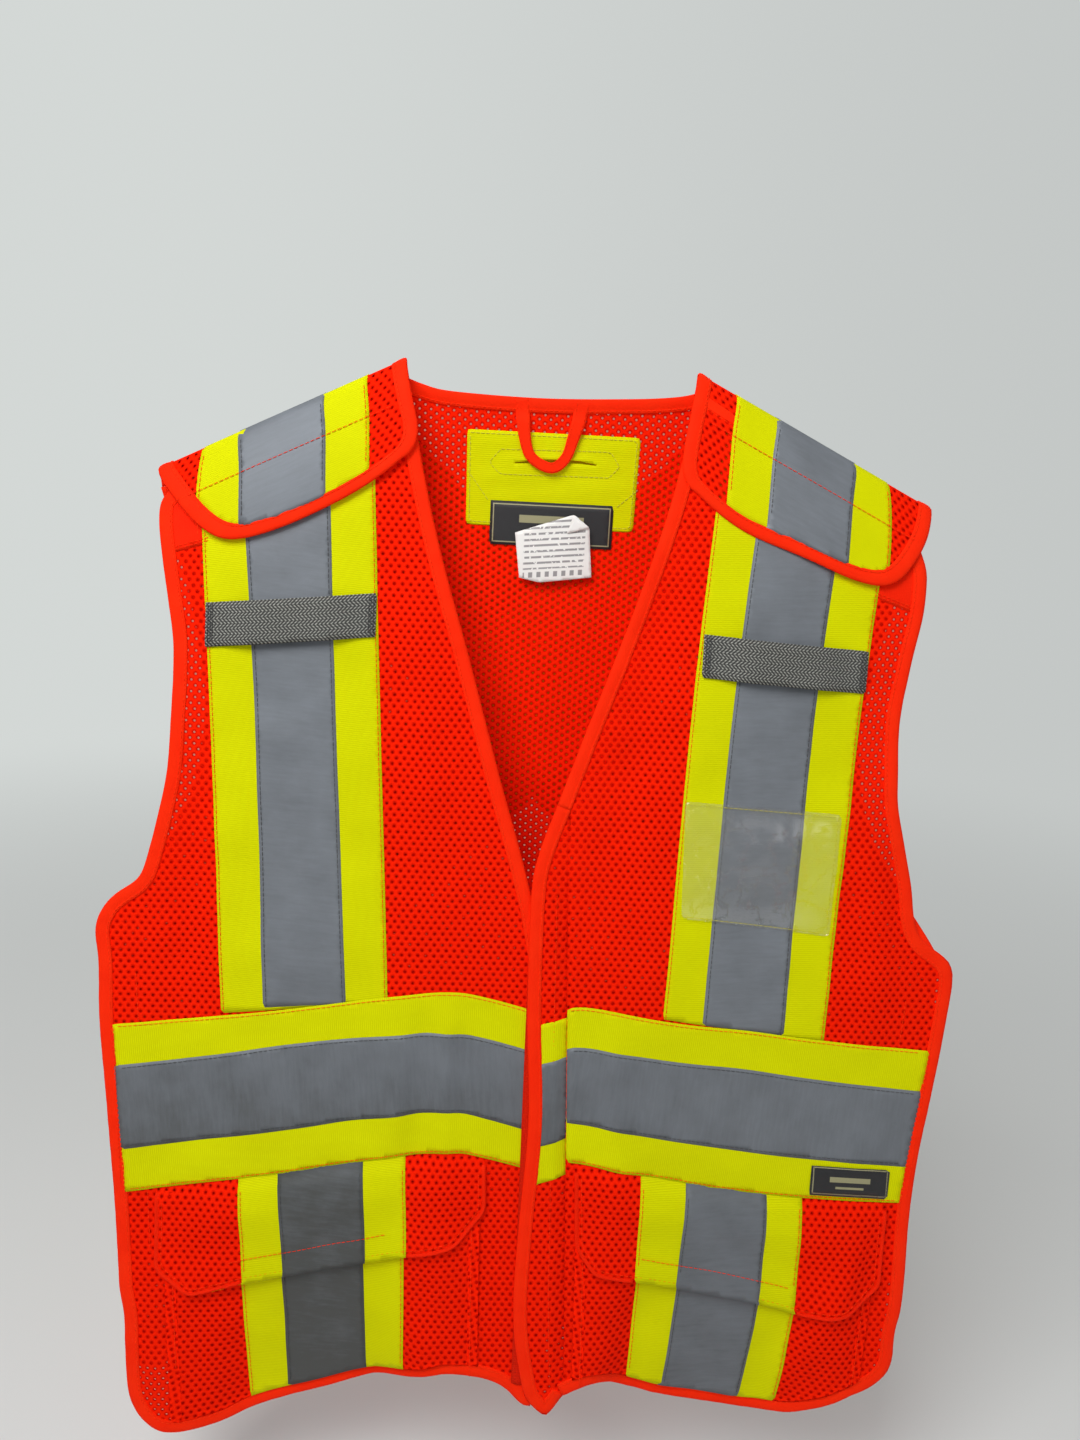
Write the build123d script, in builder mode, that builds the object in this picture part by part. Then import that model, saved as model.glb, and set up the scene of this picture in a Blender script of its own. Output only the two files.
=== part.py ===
"""High visibility vest, five-point breakaway, as it hangs from the shoulders.

Frame: +Z up, the fronts face -Y, +X is the wearer's left. The origin is the middle of the neck on the
shoulder ridge, where a hanger or the wearer's shoulders carry the vest. Units are millimetres.
Every sheet is a layer of one draped surface: an outline cut through it along Y, moved outwards by the
layers below. Pieces named right_ are on the wearer's right, at -X.
"""

import math
import os

from build123d import *

os.makedirs("parts", exist_ok=True)

# ---- driving dimensions ----------------------------------------------------------------------------
TAPE = 101.6  # yellow tape, 4 inches
SILVER = 50.8  # reflective tape, 2 inches
NECK_X = 88.0  # neck point on the ridge
TIP_X = 237.0  # shoulder tip
RIDGE_SLOPE = 0.486  # fall of the shoulder ridge per millimetre outwards
SIDE_TOP = (268.0, -356.0)  # underarm corner
SIDE_BOTTOM_X = 250.0
SIDE_SLOPE = 0.0616  # the sides draw in towards the hem
BINDING = 8.0  # visible width of the edge binding

# draped surface of the fronts
RIDGE_DEPTH = 11.0  # the fronts come forward by this much under the ridge
RIDGE_DECAY = 30.0
CHEST_DEPTH = 12.0
LEAN = 0.08  # forward lean of the hanging fronts, and of the breakaway slide
VALLEY_DEPTH = 16.0  # the lower fronts hang back between the closure and the sides
LAP = 3.8  # the left front lies this much outside the right one at the closure

# draped surface of the back
BACK_TOP = 0.4
BACK_DEPTH = 11.6
BACK_DECAY = 35.0
SIDE_STACK = 4.0  # back panel behind the front panel where they overlap

# layer thicknesses
MESH = 0.8
CLOTH = 0.45
FOIL = 0.3
STRIP = 0.8
EDGE = 2.0

# waist band, higher at the closure than at the sides
BAND_TOP = -386.0
BAND_SLOPE = 0.0943
BACK_BAND_TOP = -400.0
BACK_BAND_SLOPE = 0.042
BACK_CROSS = (0.0, -197.0)  # where the two tapes of the back cross

# vertical tapes lean towards the centre as they go down
TAPE_X = 161.6  # tape centre at the level of the neck points
TAPE_LEAN = 0.0627
LOWER_SWAY = 5.5  # the lower fronts hang this much towards the wearer's left

# shoulder flaps
FLAP_LIFT = 3.5  # flap mesh outside the front panel
FLAP_HOOK = (20.0, 52.0)  # hook strip, below the ridge

# closure
FOLD_TOP = (23.0, -300.0)
FOLD_BOTTOM = (38.0, -668.0)

# pockets
POCKET_BULGE = 7.0
POCKET_X = {1: (37.0, 236.0), -1: (20.0, 222.0)}
POCKET_MOUTH = 12.0  # pocket mouth below the waist band
POCKET_FLAP = 68.0  # height of the pocket flap
POCKET_FLAP_CHAMFER = 22.0
BULGE_RISE = 22.0

# small pieces on the chest
LOOP_WEBBING = 26.0
LOOP_LENGTH = 104.0
LOOP_Z = -163.0
LOOP_RISE = 9.0
CARD_WIDTH = 98.0
CARD_HEIGHT = 76.0
CARD_Z = -296.0
CARD_RISE = 8.0

GRID = 14.0  # spacing of the surface points
SURFACE_TOLERANCE = 0.01
CUT_DEPTH = 300.0
GAP = 0.05  # air between layers of one body


# ---- draped surfaces -------------------------------------------------------------------------------
def smooth(t):
    t = min(max(t, 0.0), 1.0)
    return t * t * (3 - 2 * t)


def ridge(x):
    """Height of the shoulder ridge."""
    return -max(abs(x) - NECK_X, 0.0) * RIDGE_SLOPE


def front_depth(x, z):
    """Outer face of the right front's mesh, and of the left front's away from the closure."""
    drop = ridge(x) - z
    y = -CHEST_DEPTH + LEAN * z + RIDGE_DEPTH * math.exp(-drop / RIDGE_DECAY)
    y -= LEAN * ridge(x) * math.exp(-drop / (2 * RIDGE_DECAY))
    valley = smooth((abs(x) - 45) / 45) * smooth((224 - abs(x)) / 60)
    return y + VALLEY_DEPTH * valley * smooth((-z - 480) / 170)


def left_depth(x, z):
    return front_depth(x, z) - LAP * (1 - smooth((x - 40) / 190))


def back_depth(x, z):
    """Inner face of the back panel. Low down its sides come forward to meet the fronts."""
    drop = ridge(x) - z
    hanging = BACK_TOP + BACK_DEPTH * (1 - math.exp(-drop / BACK_DECAY))
    at_front = front_depth(x, z) + SIDE_STACK
    share = smooth((abs(x) - 185) / 65) * smooth((-z - 210) / 140)
    return hanging + share * (at_front - hanging)


def pocket_swell(side, x, z):
    """How far a pocket stands out, from 0 at its sewn edges to 1."""
    inner, outer = POCKET_X[side]
    across = smooth((side * x - inner) / 45) * smooth((outer - side * x) / 45)
    below_band = band_bottom(x) - z
    return across * smooth(below_band / BULGE_RISE) * smooth((z + 650) / 50)


def band_top(x):
    return BAND_TOP - BAND_SLOPE * abs(x)


def band_bottom(x):
    return band_top(x) - TAPE


def side_edge(z):
    return SIDE_TOP[0] - SIDE_SLOPE * (SIDE_TOP[1] - z)


def tape_centre(z):
    return TAPE_X + TAPE_LEAN * z


def drape(depth, x_low, x_high, z_low, z_high):
    """A surface through depth(x, z)."""
    columns = max(int((x_high - x_low) / GRID), 4)
    rows = max(int((z_high - z_low) / GRID), 4)
    points = []
    for i in range(columns + 1):
        x = x_low + (x_high - x_low) * i / columns
        heights = [z_low + (z_high - z_low) * j / rows for j in range(rows + 1)]
        points.append([(x, depth(x, z), z) for z in heights])
    return Face.make_surface_from_array_of_points(points, tol=SURFACE_TOLERANCE)


FRONT = {
    -1: drape(front_depth, -276, 30, -700, 8),
    1: drape(left_depth, -8, 276, -700, 8),
}
BACK = drape(back_depth, -272, 272, -700, 8)
POCKET = {
    side: drape(
        lambda x, z, side=side, depth=depth: depth(x, z)
        - POCKET_BULGE * pocket_swell(side, x, z),
        min(side * 10, side * 245),
        max(side * 10, side * 245),
        -690,
        -470,
    )
    for side, depth in ((-1, front_depth), (1, left_depth))
}


# ---- making a piece --------------------------------------------------------------------------------
def layer(surface, offset, thickness):
    """The slab between a surface moved along Y by offset and the same surface further out (-Y)."""
    moved = Pos(0, offset, 0) * surface
    return extrude(moved, amount=thickness, dir=(0, -1, 0), mode=Mode.PRIVATE)


def cut_layer(outline, surface, offset, thickness):
    """A layer of a surface cut along Y to an outline."""
    slab = layer(surface, offset, thickness)
    with BuildPart() as piece:
        with BuildSketch(Plane.XZ.offset(-CUT_DEPTH / 2)):
            add(outline)
        extrude(amount=CUT_DEPTH)
        add(slab, mode=Mode.INTERSECT)
    return piece.part


def cloth(label, outline, surface, offset, thickness):
    """A cut layer written as one node."""
    piece = cut_layer(outline, surface, offset, thickness)
    piece.label = label
    export_step(piece, f"parts/{label}.step")


def polygon(points, radii, side=1):
    """A closed outline with rounded corners, in x and z, mirrored to the wearer's right if side is -1."""
    corners = [(side * x, z) for x, z in points]
    with BuildSketch() as shape:
        with BuildLine():
            FilletPolyline(*corners, radius=radii, close=True)
        make_face()
    return shape.sketch


def plain(points, side=1):
    """A closed outline with sharp corners."""
    corners = [(side * x, z) for x, z in points]
    with BuildSketch() as shape:
        with BuildLine():
            Polyline(*corners, close=True)
        make_face()
    return shape.sketch


def inset(outline, amount):
    with BuildSketch() as shape:
        add(outline)
        offset(amount=-amount, mode=Mode.REPLACE)
    return shape.sketch


def strip_along(x_of_z, z_top, z_bottom, width):
    """Outline of a tape of a width whose centre line is x_of_z."""
    half = width / 2
    top, bottom = x_of_z(z_top), x_of_z(z_bottom)
    return [
        (top - half, z_top),
        (top + half, z_top),
        (bottom + half, z_bottom),
        (bottom - half, z_bottom),
    ]


# ---- outlines --------------------------------------------------------------------------------------
ARMHOLE = [(SIDE_TOP, 8), ((223, -290), 60), ((213, -215), 120), ((234, -84), 10)]
LOWER_CORNER = [((150, -659), 150), ((226, -672), 22), ((SIDE_BOTTOM_X, -645), 24)]
NECKLINE = [((86, -9), 3), ((79, -52), 60)]
CLOSURE = {
    1: [((2, -300), 90), ((4, -612), 60), ((28, -664), 5), ((56, -650), 25)],
    -1: [((-22, -392), 150), ((-20, -652), 10), ((12, -636), 30), ((70, -648), 120)],
}


def front_outline(side):
    corners = NECKLINE + CLOSURE[side] + LOWER_CORNER + ARMHOLE
    return polygon([c[0] for c in corners], [c[1] for c in corners], side)


def back_half():
    """Corners of the back from the neck point round to the hem, on the wearer's left."""
    tip = (TIP_X, ridge(TIP_X) - 0.5)
    return [
        ((62, -15), 40),
        ((NECK_X, -0.5), 2),
        (tip, 3),
        ((213, -215), 120),
        ((223, -290), 60),
        ((SIDE_TOP[0] - 4, SIDE_TOP[1]), 8),
        ((SIDE_BOTTOM_X - 4, -640), 30),
        ((205, -662), 30),
    ]


def back_outline():
    half = back_half()
    points = [c[0] for c in half] + [(-x, z) for (x, z), _ in reversed(half)]
    radii = [c[1] for c in half] + [c[1] for c in reversed(half)]
    return polygon(points, radii)


def flap_outline(side):
    corners = [(NECK_X, -1.5), (77, -60), (214, -127), (TIP_X, ridge(TIP_X) - 1.5)]
    return polygon(corners, [2, 22, 42, 3], side)


def ridge_band(depth):
    """The strip of each shoulder along the ridge, where the back goes on into its flap."""
    outer = TIP_X + 20
    return [
        plain(
            [
                (NECK_X - 1, 5),
                (outer, 5),
                (outer, ridge(outer) - 40),
                (TIP_X - BINDING, ridge(TIP_X - BINDING) - depth),
                (NECK_X + BINDING, ridge(NECK_X + BINDING) - depth),
            ],
            side,
        )
        for side in (1, -1)
    ]


def below_ridge(x, drop):
    return (x, ridge(x) - drop)


def along_band(side, top, bottom, inner, outer):
    """A stripe of the waist band between two distances below its top edge."""
    return plain(
        [
            (inner, band_top(inner) - top),
            (outer, band_top(outer) - top),
            (outer, band_top(outer) - bottom),
            (inner, band_top(inner) - bottom),
        ],
        side,
    )


def closure_side():
    """Everything on the wearer's right of the closure fold, below the neckline."""
    return plain([(-40, FOLD_TOP[1]), FOLD_TOP, FOLD_BOTTOM, (FOLD_BOTTOM[0], -720), (-40, -720)])


FOLD_GAP = 0.5


def beside_fold():
    """The same, widened by the gap at the fold."""
    with BuildSketch() as shape:
        add(closure_side())
        offset(amount=FOLD_GAP, kind=Kind.INTERSECTION, mode=Mode.REPLACE)
    return shape.sketch


# ---- fronts ----------------------------------------------------------------------------------------
SIDE_NAME = {1: "left", -1: "right"}


def front_panel(side):
    name = SIDE_NAME[side]
    whole = front_outline(side)
    mesh = inset(whole, BINDING)
    edge = whole - mesh
    if side == 1:
        mesh = mesh - beside_fold()
        edge = edge - beside_fold()
    surface = FRONT[side]
    cloth(f"{name}_front_panel", mesh, surface, MESH, MESH)
    cloth(f"{name}_front_binding", edge, surface, EDGE - 0.6, EDGE)


def front_strips(side):
    """Shoulder loop strip on the face, side hook strip on the inside."""
    name = SIDE_NAME[side]
    shoulder = plain(
        [below_ridge(96, 24), below_ridge(216, 24), below_ridge(214, 55), below_ridge(90, 55)],
        side,
    )
    cloth(f"{name}_shoulder_loop_strip", shoulder, FRONT[side], -GAP, CLOTH)
    top, bottom = -378.0, -562.0
    hook = plain(
        [
            (side_edge(top) - 28, top),
            (side_edge(top) - BINDING - 1, top),
            (side_edge(bottom) - BINDING - 1, bottom),
            (side_edge(bottom) - 28, bottom),
        ],
        side,
    )
    cloth(f"{name}_side_hook_strip", hook, FRONT[side], MESH + GAP + STRIP, STRIP)


def chest_tapes(side):
    name = SIDE_NAME[side]
    for part, width, out in (("tape", TAPE, 0.6), ("reflective", SILVER, 0.6 + CLOTH + GAP)):
        half = width / 2
        head, foot = tape_centre(-60), tape_centre(-398)
        corners = [
            below_ridge(head - half, 21),
            below_ridge(head + half, 21),
            (foot + half, band_top(foot + half) + GAP),
            (foot - half, band_top(foot - half) + GAP),
        ]
        thickness = CLOTH if part == "tape" else FOIL
        cloth(f"{name}_chest_{part}", plain(corners, side), FRONT[side], -out, thickness)


def waist_tapes(side):
    name = SIDE_NAME[side]
    outer = side_edge(-450) + 20
    inner = 0 if side == 1 else -40
    mesh = inset(front_outline(side), BINDING)
    if side == 1:
        mesh = mesh - beside_fold()
    tape = mesh & along_band(side, 0, TAPE, inner, outer)
    silver = mesh & along_band(side, TAPE / 4, TAPE * 3 / 4, inner, outer)
    cloth(f"{name}_waist_tape", tape, FRONT[side], -GAP, CLOTH)
    cloth(f"{name}_waist_reflective", silver, FRONT[side], -GAP * 2 - CLOTH, FOIL)


def raised(side, centre, width, height, rise, open_sides):
    """A surface that stands out of the chest tape in the middle of a strap or pocket."""
    depth = left_depth if side == 1 else front_depth
    x0, z0 = centre

    def swollen(x, z):
        u = (abs(x) - x0) / (width / 2)
        v = (z - z0) / (height / 2)
        lift = smooth((1 - abs(u)) * 3)
        if open_sides == "card":
            lift = smooth((1 - u) * 2.2) * smooth((1 - abs(v)) * 3)
        return depth(x, z) - rise * lift

    reach_x, reach_z = width / 2 + 14, height / 2 + 14
    return drape(
        swollen,
        min(side * (x0 - reach_x), side * (x0 + reach_x)),
        max(side * (x0 - reach_x), side * (x0 + reach_x)),
        z0 - reach_z,
        z0 + reach_z,
    )


def tilted(side, x0, z0, width, height):
    """A rectangle square to the leaning chest tape."""
    tilt = math.atan(TAPE_LEAN)
    c, s = math.cos(tilt), math.sin(tilt)
    corners = []
    for u, v in ((-1, 1), (1, 1), (1, -1), (-1, -1)):
        dx, dz = u * width / 2, v * height / 2
        corners.append((x0 + c * dx + s * dz, z0 - s * dx + c * dz))
    return plain(corners, side)


def mic_loop(side):
    x0 = tape_centre(LOOP_Z)
    surface = raised(side, (x0, LOOP_Z), LOOP_LENGTH, LOOP_WEBBING, LOOP_RISE, "ends")
    outline = tilted(side, x0, LOOP_Z, LOOP_LENGTH, LOOP_WEBBING)
    cloth(f"{SIDE_NAME[side]}_mic_loop", outline, surface, -1.45, 1.2)


def id_pocket():
    x0 = tape_centre(CARD_Z) - 1
    surface = raised(1, (x0, CARD_Z), CARD_WIDTH, CARD_HEIGHT, CARD_RISE, "card")
    outline = tilted(1, x0, CARD_Z, CARD_WIDTH, CARD_HEIGHT)
    cloth("id_pocket", outline, surface, -3.3, 0.35)


def waist_label():
    label = plain([(188, -487.5), (240, -489), (239.5, -508.5), (187.5, -507)])
    cloth("waist_label", label, FRONT[1], -0.9, 0.5)


# ---- pockets ---------------------------------------------------------------------------------------
def lower_tape_x(side):
    return lambda z: tape_centre(z) + side * LOWER_SWAY


def pocket(side):
    name = SIDE_NAME[side]
    inner, outer = POCKET_X[side]
    bottom = -637.0
    room = inset(front_outline(side), BINDING + 0.6)
    body = room & plain(
        [
            (inner, band_bottom(inner) - POCKET_MOUTH),
            (outer, band_bottom(outer) - POCKET_MOUTH),
            (outer - 2, bottom - 32),
            (inner, bottom - 32),
        ],
        side,
    )
    cloth(f"{name}_pocket", body, POCKET[side], -1.0, 0.6)
    for part, width, out in (("tape", TAPE, 1.65), ("reflective", SILVER, 1.7 + CLOTH)):
        x_of_z = lower_tape_x(side)
        strip = body & plain(strip_along(x_of_z, -490, -680, width), side)
        thickness = CLOTH if part == "tape" else FOIL
        cloth(f"{name}_pocket_{part}", strip, POCKET[side], -out, thickness)


def pocket_flap(side):
    name = SIDE_NAME[side]
    inner, outer = POCKET_X[side][0] - 2, POCKET_X[side][1] + 2
    cut = POCKET_FLAP_CHAMFER
    low = POCKET_FLAP

    def under_band(x, drop):
        return (x, band_bottom(x) - drop)

    body = plain(
        [
            under_band(inner, 0.6),
            under_band(outer, 0.6),
            under_band(outer, low - cut),
            under_band(outer - cut, low),
            under_band(inner + cut, low),
            under_band(inner, low - cut),
        ],
        side,
    )
    cloth(f"{name}_pocket_flap", body, POCKET[side], -2.9, MESH)
    for part, width, out in (("tape", TAPE, 3.75), ("reflective", SILVER, 3.8 + CLOTH)):
        x_of_z = lower_tape_x(side)
        strip = body & plain(strip_along(x_of_z, -480, -600, width), side)
        thickness = CLOTH if part == "tape" else FOIL
        cloth(f"{name}_pocket_flap_{part}", strip, POCKET[side], -out, thickness)


# ---- closure ---------------------------------------------------------------------------------------
def placket():
    """The left front's closure strip, on the wearer's right of the fold."""
    whole = front_outline(1) & closure_side()
    mesh = inset(front_outline(1), BINDING) & closure_side()
    edge = whole - mesh
    surface = FRONT[1]
    cloth("placket_panel", mesh, surface, MESH, MESH)
    cloth("placket_binding", edge, surface, EDGE - 0.6, EDGE)
    lower = 10.0  # the strip's tape sits lower than the front's
    tape = mesh & along_band(1, lower, TAPE + lower, -10, 60)
    silver = mesh & along_band(1, TAPE / 4 + lower, TAPE * 3 / 4 + lower, -10, 60)
    cloth("placket_tape", tape, surface, -GAP, CLOTH)
    cloth("placket_reflective", silver, surface, -GAP * 2 - CLOTH, FOIL)
    hook = plain([(11.5, -312), (21, -312), (21, -600), (13, -600)])
    cloth("placket_hook_strip", hook, surface, MESH + GAP + STRIP, STRIP)
    loop = plain([(4, -330), (20, -400), (20, -630), (4, -630)])
    cloth("placket_loop_strip", loop, FRONT[-1], -0.9, STRIP)


# ---- shoulder flaps --------------------------------------------------------------------------------
def shoulder_flap(side):
    name = SIDE_NAME[side]
    whole = flap_outline(side)
    surface = FRONT[side]
    along_ridge = ridge_band(BINDING + 4)[0 if side == 1 else 1]
    edge = (whole - inset(whole, BINDING)) - along_ridge
    mesh = whole - edge
    lift = -FLAP_LIFT + MESH
    cloth(f"{name}_shoulder_flap", mesh, surface, lift, MESH)
    cloth(f"{name}_shoulder_flap_binding", edge, surface, lift + 0.6, EDGE)
    for part, width, out in (("tape", TAPE, GAP), ("reflective", SILVER, GAP * 2 + CLOTH)):
        strip = mesh & plain(strip_along(tape_centre, 10, -160, width), side)
        thickness = CLOTH if part == "tape" else FOIL
        offset_out = -FLAP_LIFT - out
        cloth(f"{name}_shoulder_flap_{part}", strip, surface, offset_out, thickness)
    high, low = FLAP_HOOK
    hook = plain(
        [below_ridge(98, high), below_ridge(205, high), below_ridge(192, low), below_ridge(96, low)],
        side,
    )
    cloth(f"{name}_shoulder_hook_strip", hook, surface, lift + GAP + STRIP, STRIP)


# ---- back ------------------------------------------------------------------------------------------
SLOT = (3.0, -56.0, 55.0, 5.6)  # centre x, centre z, width and height of the D-ring slot


def slot_outline():
    x, z, width, height = SLOT
    half_w, half_h = width / 2, height / 2
    return plain(
        [(x - half_w, z - half_h), (x + half_w, z - half_h), (x + half_w, z + half_h), (x - half_w, z + half_h)]
    )


def back():
    whole = back_outline()
    ring = whole - inset(whole, BINDING)
    for band in ridge_band(BINDING + 4):
        ring = ring - band
    mesh = whole - ring
    inner = inset(whole, BINDING)
    cloth("back_panel", mesh - slot_outline(), BACK, MESH, MESH)
    cloth("back_binding", ring, BACK, EDGE - 0.6, EDGE)
    back_x(inner)
    for part, low, high, out in (
        ("tape", 0, TAPE, 0.1),
        ("reflective", TAPE / 4, TAPE * 3 / 4, 0.15 + CLOTH),
    ):
        half_width = 275
        stripe = inner & plain(
            [
                (0, BACK_BAND_TOP - low),
                (half_width, BACK_BAND_TOP - BACK_BAND_SLOPE * half_width - low),
                (half_width, BACK_BAND_TOP - BACK_BAND_SLOPE * half_width - high),
                (0, BACK_BAND_TOP - high),
                (-half_width, BACK_BAND_TOP - BACK_BAND_SLOPE * half_width - high),
                (-half_width, BACK_BAND_TOP - BACK_BAND_SLOPE * half_width - low),
            ]
        )
        thickness = CLOTH if part == "tape" else FOIL
        cloth(f"back_waist_{part}", stripe, BACK, MESH + out + thickness, thickness)


def back_x(inner):
    """Two straight tapes that come over the shoulders from the flaps and cross on the back."""
    start = (tape_centre(-35), ridge(tape_centre(-35)))
    reach = math.hypot(BACK_CROSS[0] - start[0], BACK_CROSS[1] - start[1])
    run = ((BACK_CROSS[0] - start[0]) / reach, (BACK_CROSS[1] - start[1]) / reach)
    above_band = plain(
        [(-300, 20), (300, 20), (300, BACK_BAND_TOP - BACK_BAND_SLOPE * 300 + GAP),
         (0, BACK_BAND_TOP + GAP), (-300, BACK_BAND_TOP - BACK_BAND_SLOPE * 300 + GAP)]
    )
    below = whole_below_ridge()
    for part, width, thickness in (("tape", TAPE, CLOTH), ("reflective", SILVER, FOIL)):
        strips = []
        for side, lift in ((1, 0.1), (-1, 0.95)):
            level = MESH + thickness + (lift if part == "tape" else lift + CLOTH + GAP)
            outline = plain(sloping_strip(start, run, width), side) & above_band & below & inner
            strips.append(cut_layer(outline, BACK, level, thickness))
        with BuildPart() as crossed:
            for strip in strips:
                add(strip)
        crossed.part.label = f"back_x_{part}"
        export_step(crossed.part, f"parts/back_x_{part}.step")


def sloping_strip(start, run, width):
    """A straight tape of a width from just over the ridge at start, along the direction run."""
    half = width / 2
    across = (run[1] * half, -run[0] * half)
    near = (start[0] - 60 * run[0], start[1] - 60 * run[1])
    far = (start[0] + 620 * run[0], start[1] + 620 * run[1])
    return [
        (near[0] + across[0], near[1] + across[1]),
        (near[0] - across[0], near[1] - across[1]),
        (far[0] - across[0], far[1] - across[1]),
        (far[0] + across[0], far[1] + across[1]),
    ]


def whole_below_ridge():
    """The back below the shoulder ridge and the neckline binding."""
    return plain(
        [
            (-NECK_X, -2),
            (-TIP_X, ridge(TIP_X) - 2),
            (-300, -90),
            (-300, -700),
            (300, -700),
            (300, -90),
            (TIP_X, ridge(TIP_X) - 2),
            (NECK_X, -2),
        ]
    )


def side_loop_strip(side):
    top, bottom = -378.0, -562.0
    strip = plain(
        [
            (side_edge(top) - 32, top),
            (side_edge(top) - 16, top),
            (side_edge(bottom) - 16, bottom),
            (side_edge(bottom) - 32, bottom),
        ],
        side,
    )
    cloth(f"{SIDE_NAME[side]}_side_loop_strip", strip, FRONT[side], 3.2, STRIP)


def neck_pieces():
    patch = plain([(-51, -38), (57, -38), (56, -95.5), (-50, -95.5)]) - slot_outline()
    cloth("d_ring_patch", patch, BACK, -GAP, CLOTH)
    label = plain([(-35, -80), (42, -80), (42, -107), (-35, -107)])
    cloth("neck_label", label, BACK, -0.6, 0.4)
    care = plain([(-18, -88), (28, -88), (28, -127), (-18, -127)])
    cloth("care_label", care, BACK, -1.5, 0.4)


LOOP_TOP = -19.0
LOOP_BOTTOM = -60.5


def hang_loop():
    outer = polygon([(-22, LOOP_TOP), (-13, LOOP_BOTTOM), (16, LOOP_BOTTOM), (25, LOOP_TOP)], [1, 13, 13, 1])
    hole = polygon(
        [(-13, LOOP_TOP + 3), (-5.5, LOOP_BOTTOM + 9), (8.5, LOOP_BOTTOM + 9), (16, LOOP_TOP + 3)],
        [1, 6, 6, 1],
    )
    cloth("hang_loop", outer - hole, BACK, -1.2, 1.0)


def main():
    back()
    neck_pieces()
    hang_loop()
    placket()
    id_pocket()
    waist_label()
    for side in (1, -1):
        side_loop_strip(side)
        shoulder_flap(side)
        front_panel(side)
        front_strips(side)
        chest_tapes(side)
        waist_tapes(side)
        mic_loop(side)
        pocket(side)
        pocket_flap(side)


main()
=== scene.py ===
"""Looks of the high visibility vest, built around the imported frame.

Lengths in this script are millimetres unless a name says otherwise, in the frame's own axes: +Z up, the
fronts face -Y, +X is the wearer's left. Meshes are scaled to metres when they are made.
Every layer of cloth is cut from one draped surface per body, so layers lie on each other without meeting.
"""

import math

import bmesh
import bpy
import numpy as np
from mathutils import Matrix, Vector
from mathutils.geometry import delaunay_2d_cdt


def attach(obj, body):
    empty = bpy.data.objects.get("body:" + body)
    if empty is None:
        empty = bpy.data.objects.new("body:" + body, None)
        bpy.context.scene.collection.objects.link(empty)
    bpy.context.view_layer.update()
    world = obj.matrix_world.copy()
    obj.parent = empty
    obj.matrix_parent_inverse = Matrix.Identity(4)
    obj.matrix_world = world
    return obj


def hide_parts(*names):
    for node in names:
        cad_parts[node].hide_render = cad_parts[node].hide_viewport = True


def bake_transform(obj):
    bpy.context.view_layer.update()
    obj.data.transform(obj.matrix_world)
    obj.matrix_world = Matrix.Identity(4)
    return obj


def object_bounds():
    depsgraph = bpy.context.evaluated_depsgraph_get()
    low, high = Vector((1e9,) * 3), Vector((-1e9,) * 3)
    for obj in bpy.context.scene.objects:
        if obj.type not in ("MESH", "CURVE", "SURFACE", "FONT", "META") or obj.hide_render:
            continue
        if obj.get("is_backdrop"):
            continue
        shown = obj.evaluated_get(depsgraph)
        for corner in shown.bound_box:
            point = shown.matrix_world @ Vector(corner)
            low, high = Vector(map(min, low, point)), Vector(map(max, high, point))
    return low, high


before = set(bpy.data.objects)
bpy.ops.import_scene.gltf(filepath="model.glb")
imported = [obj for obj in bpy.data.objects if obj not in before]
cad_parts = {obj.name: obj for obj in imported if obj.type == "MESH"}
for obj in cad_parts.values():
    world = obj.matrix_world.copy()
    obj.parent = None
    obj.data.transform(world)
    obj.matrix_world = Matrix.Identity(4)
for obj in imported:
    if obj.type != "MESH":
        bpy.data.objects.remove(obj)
CAD_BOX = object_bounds()

MM = 0.001

# ---- driving dimensions, as the frame has them ---------------------------------------------------
TAPE = 101.6
SILVER = 50.8
NECK_X = 88.0  # where the shoulder ridge starts to slope
RIDGE_SLOPE = 0.486
BINDING = 8.5  # width of the edge binding
LEAN = 0.08  # how much the fronts lean out towards the hem
LAP = 3.8  # the left front lies this far over the right one at the closure
FRONT_DEPTH = 12.0  # how far in front of the ridge the fronts hang
TURN_DEPTH = 11.0  # how much of that the cloth takes to turn over the shoulder
HEM_TUCK = 16.0  # how far the fronts' middles come back again at the hem
SIDE_STACK = 4.0  # from the fronts' outer face to the back panel at the sides
FOLD_TOP = (23.0, -300.0)
FOLD_BOTTOM = (38.0, -668.0)
FOLD_END = -646.5  # where the closure fold meets the hem
STRIP_HEAD = -262.0  # where the closure strip starts to part from the left front
CROSSING = (0.0, -198.0)  # where the middles of the two back tapes cross
MESH = 0.6  # thickness of the knitted mesh
CLOTH = 0.45  # thickness of the yellow tape
FOIL = 0.25  # thickness of the reflective tape
SEAM_IN = 7.2  # the binding's seam lies this far from the edge
SEWN_END = BINDING - 1.5  # sewn-on tapes end this far from the edge, under the binding's rim
SIDES = {"left": 1, "right": -1}  # the way along X of the wearer's left and right


# ---- draped surfaces -----------------------------------------------------------------------------
def smooth(t):
    t = np.clip(t, 0.0, 1.0)
    return t * t * (3 - 2 * t)


def ridge(x):
    return -np.maximum(np.abs(x) - NECK_X, 0.0) * RIDGE_SLOPE


def ripples(x, z, seed, shortest, longest, count=9):
    """Gentle uneven waves between two wavelengths, within about -1 to 1."""
    dice = np.random.default_rng(seed)
    total = 0.0
    for _ in range(count):
        angle = dice.uniform(0, math.pi)
        wavelength = dice.uniform(shortest, longest)
        phase = dice.uniform(0, 2 * math.pi)
        along = x * math.cos(angle) + z * math.sin(angle)
        total = total + np.sin(along * 2 * math.pi / wavelength + phase)
    return total / math.sqrt(count) / 1.4


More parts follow.
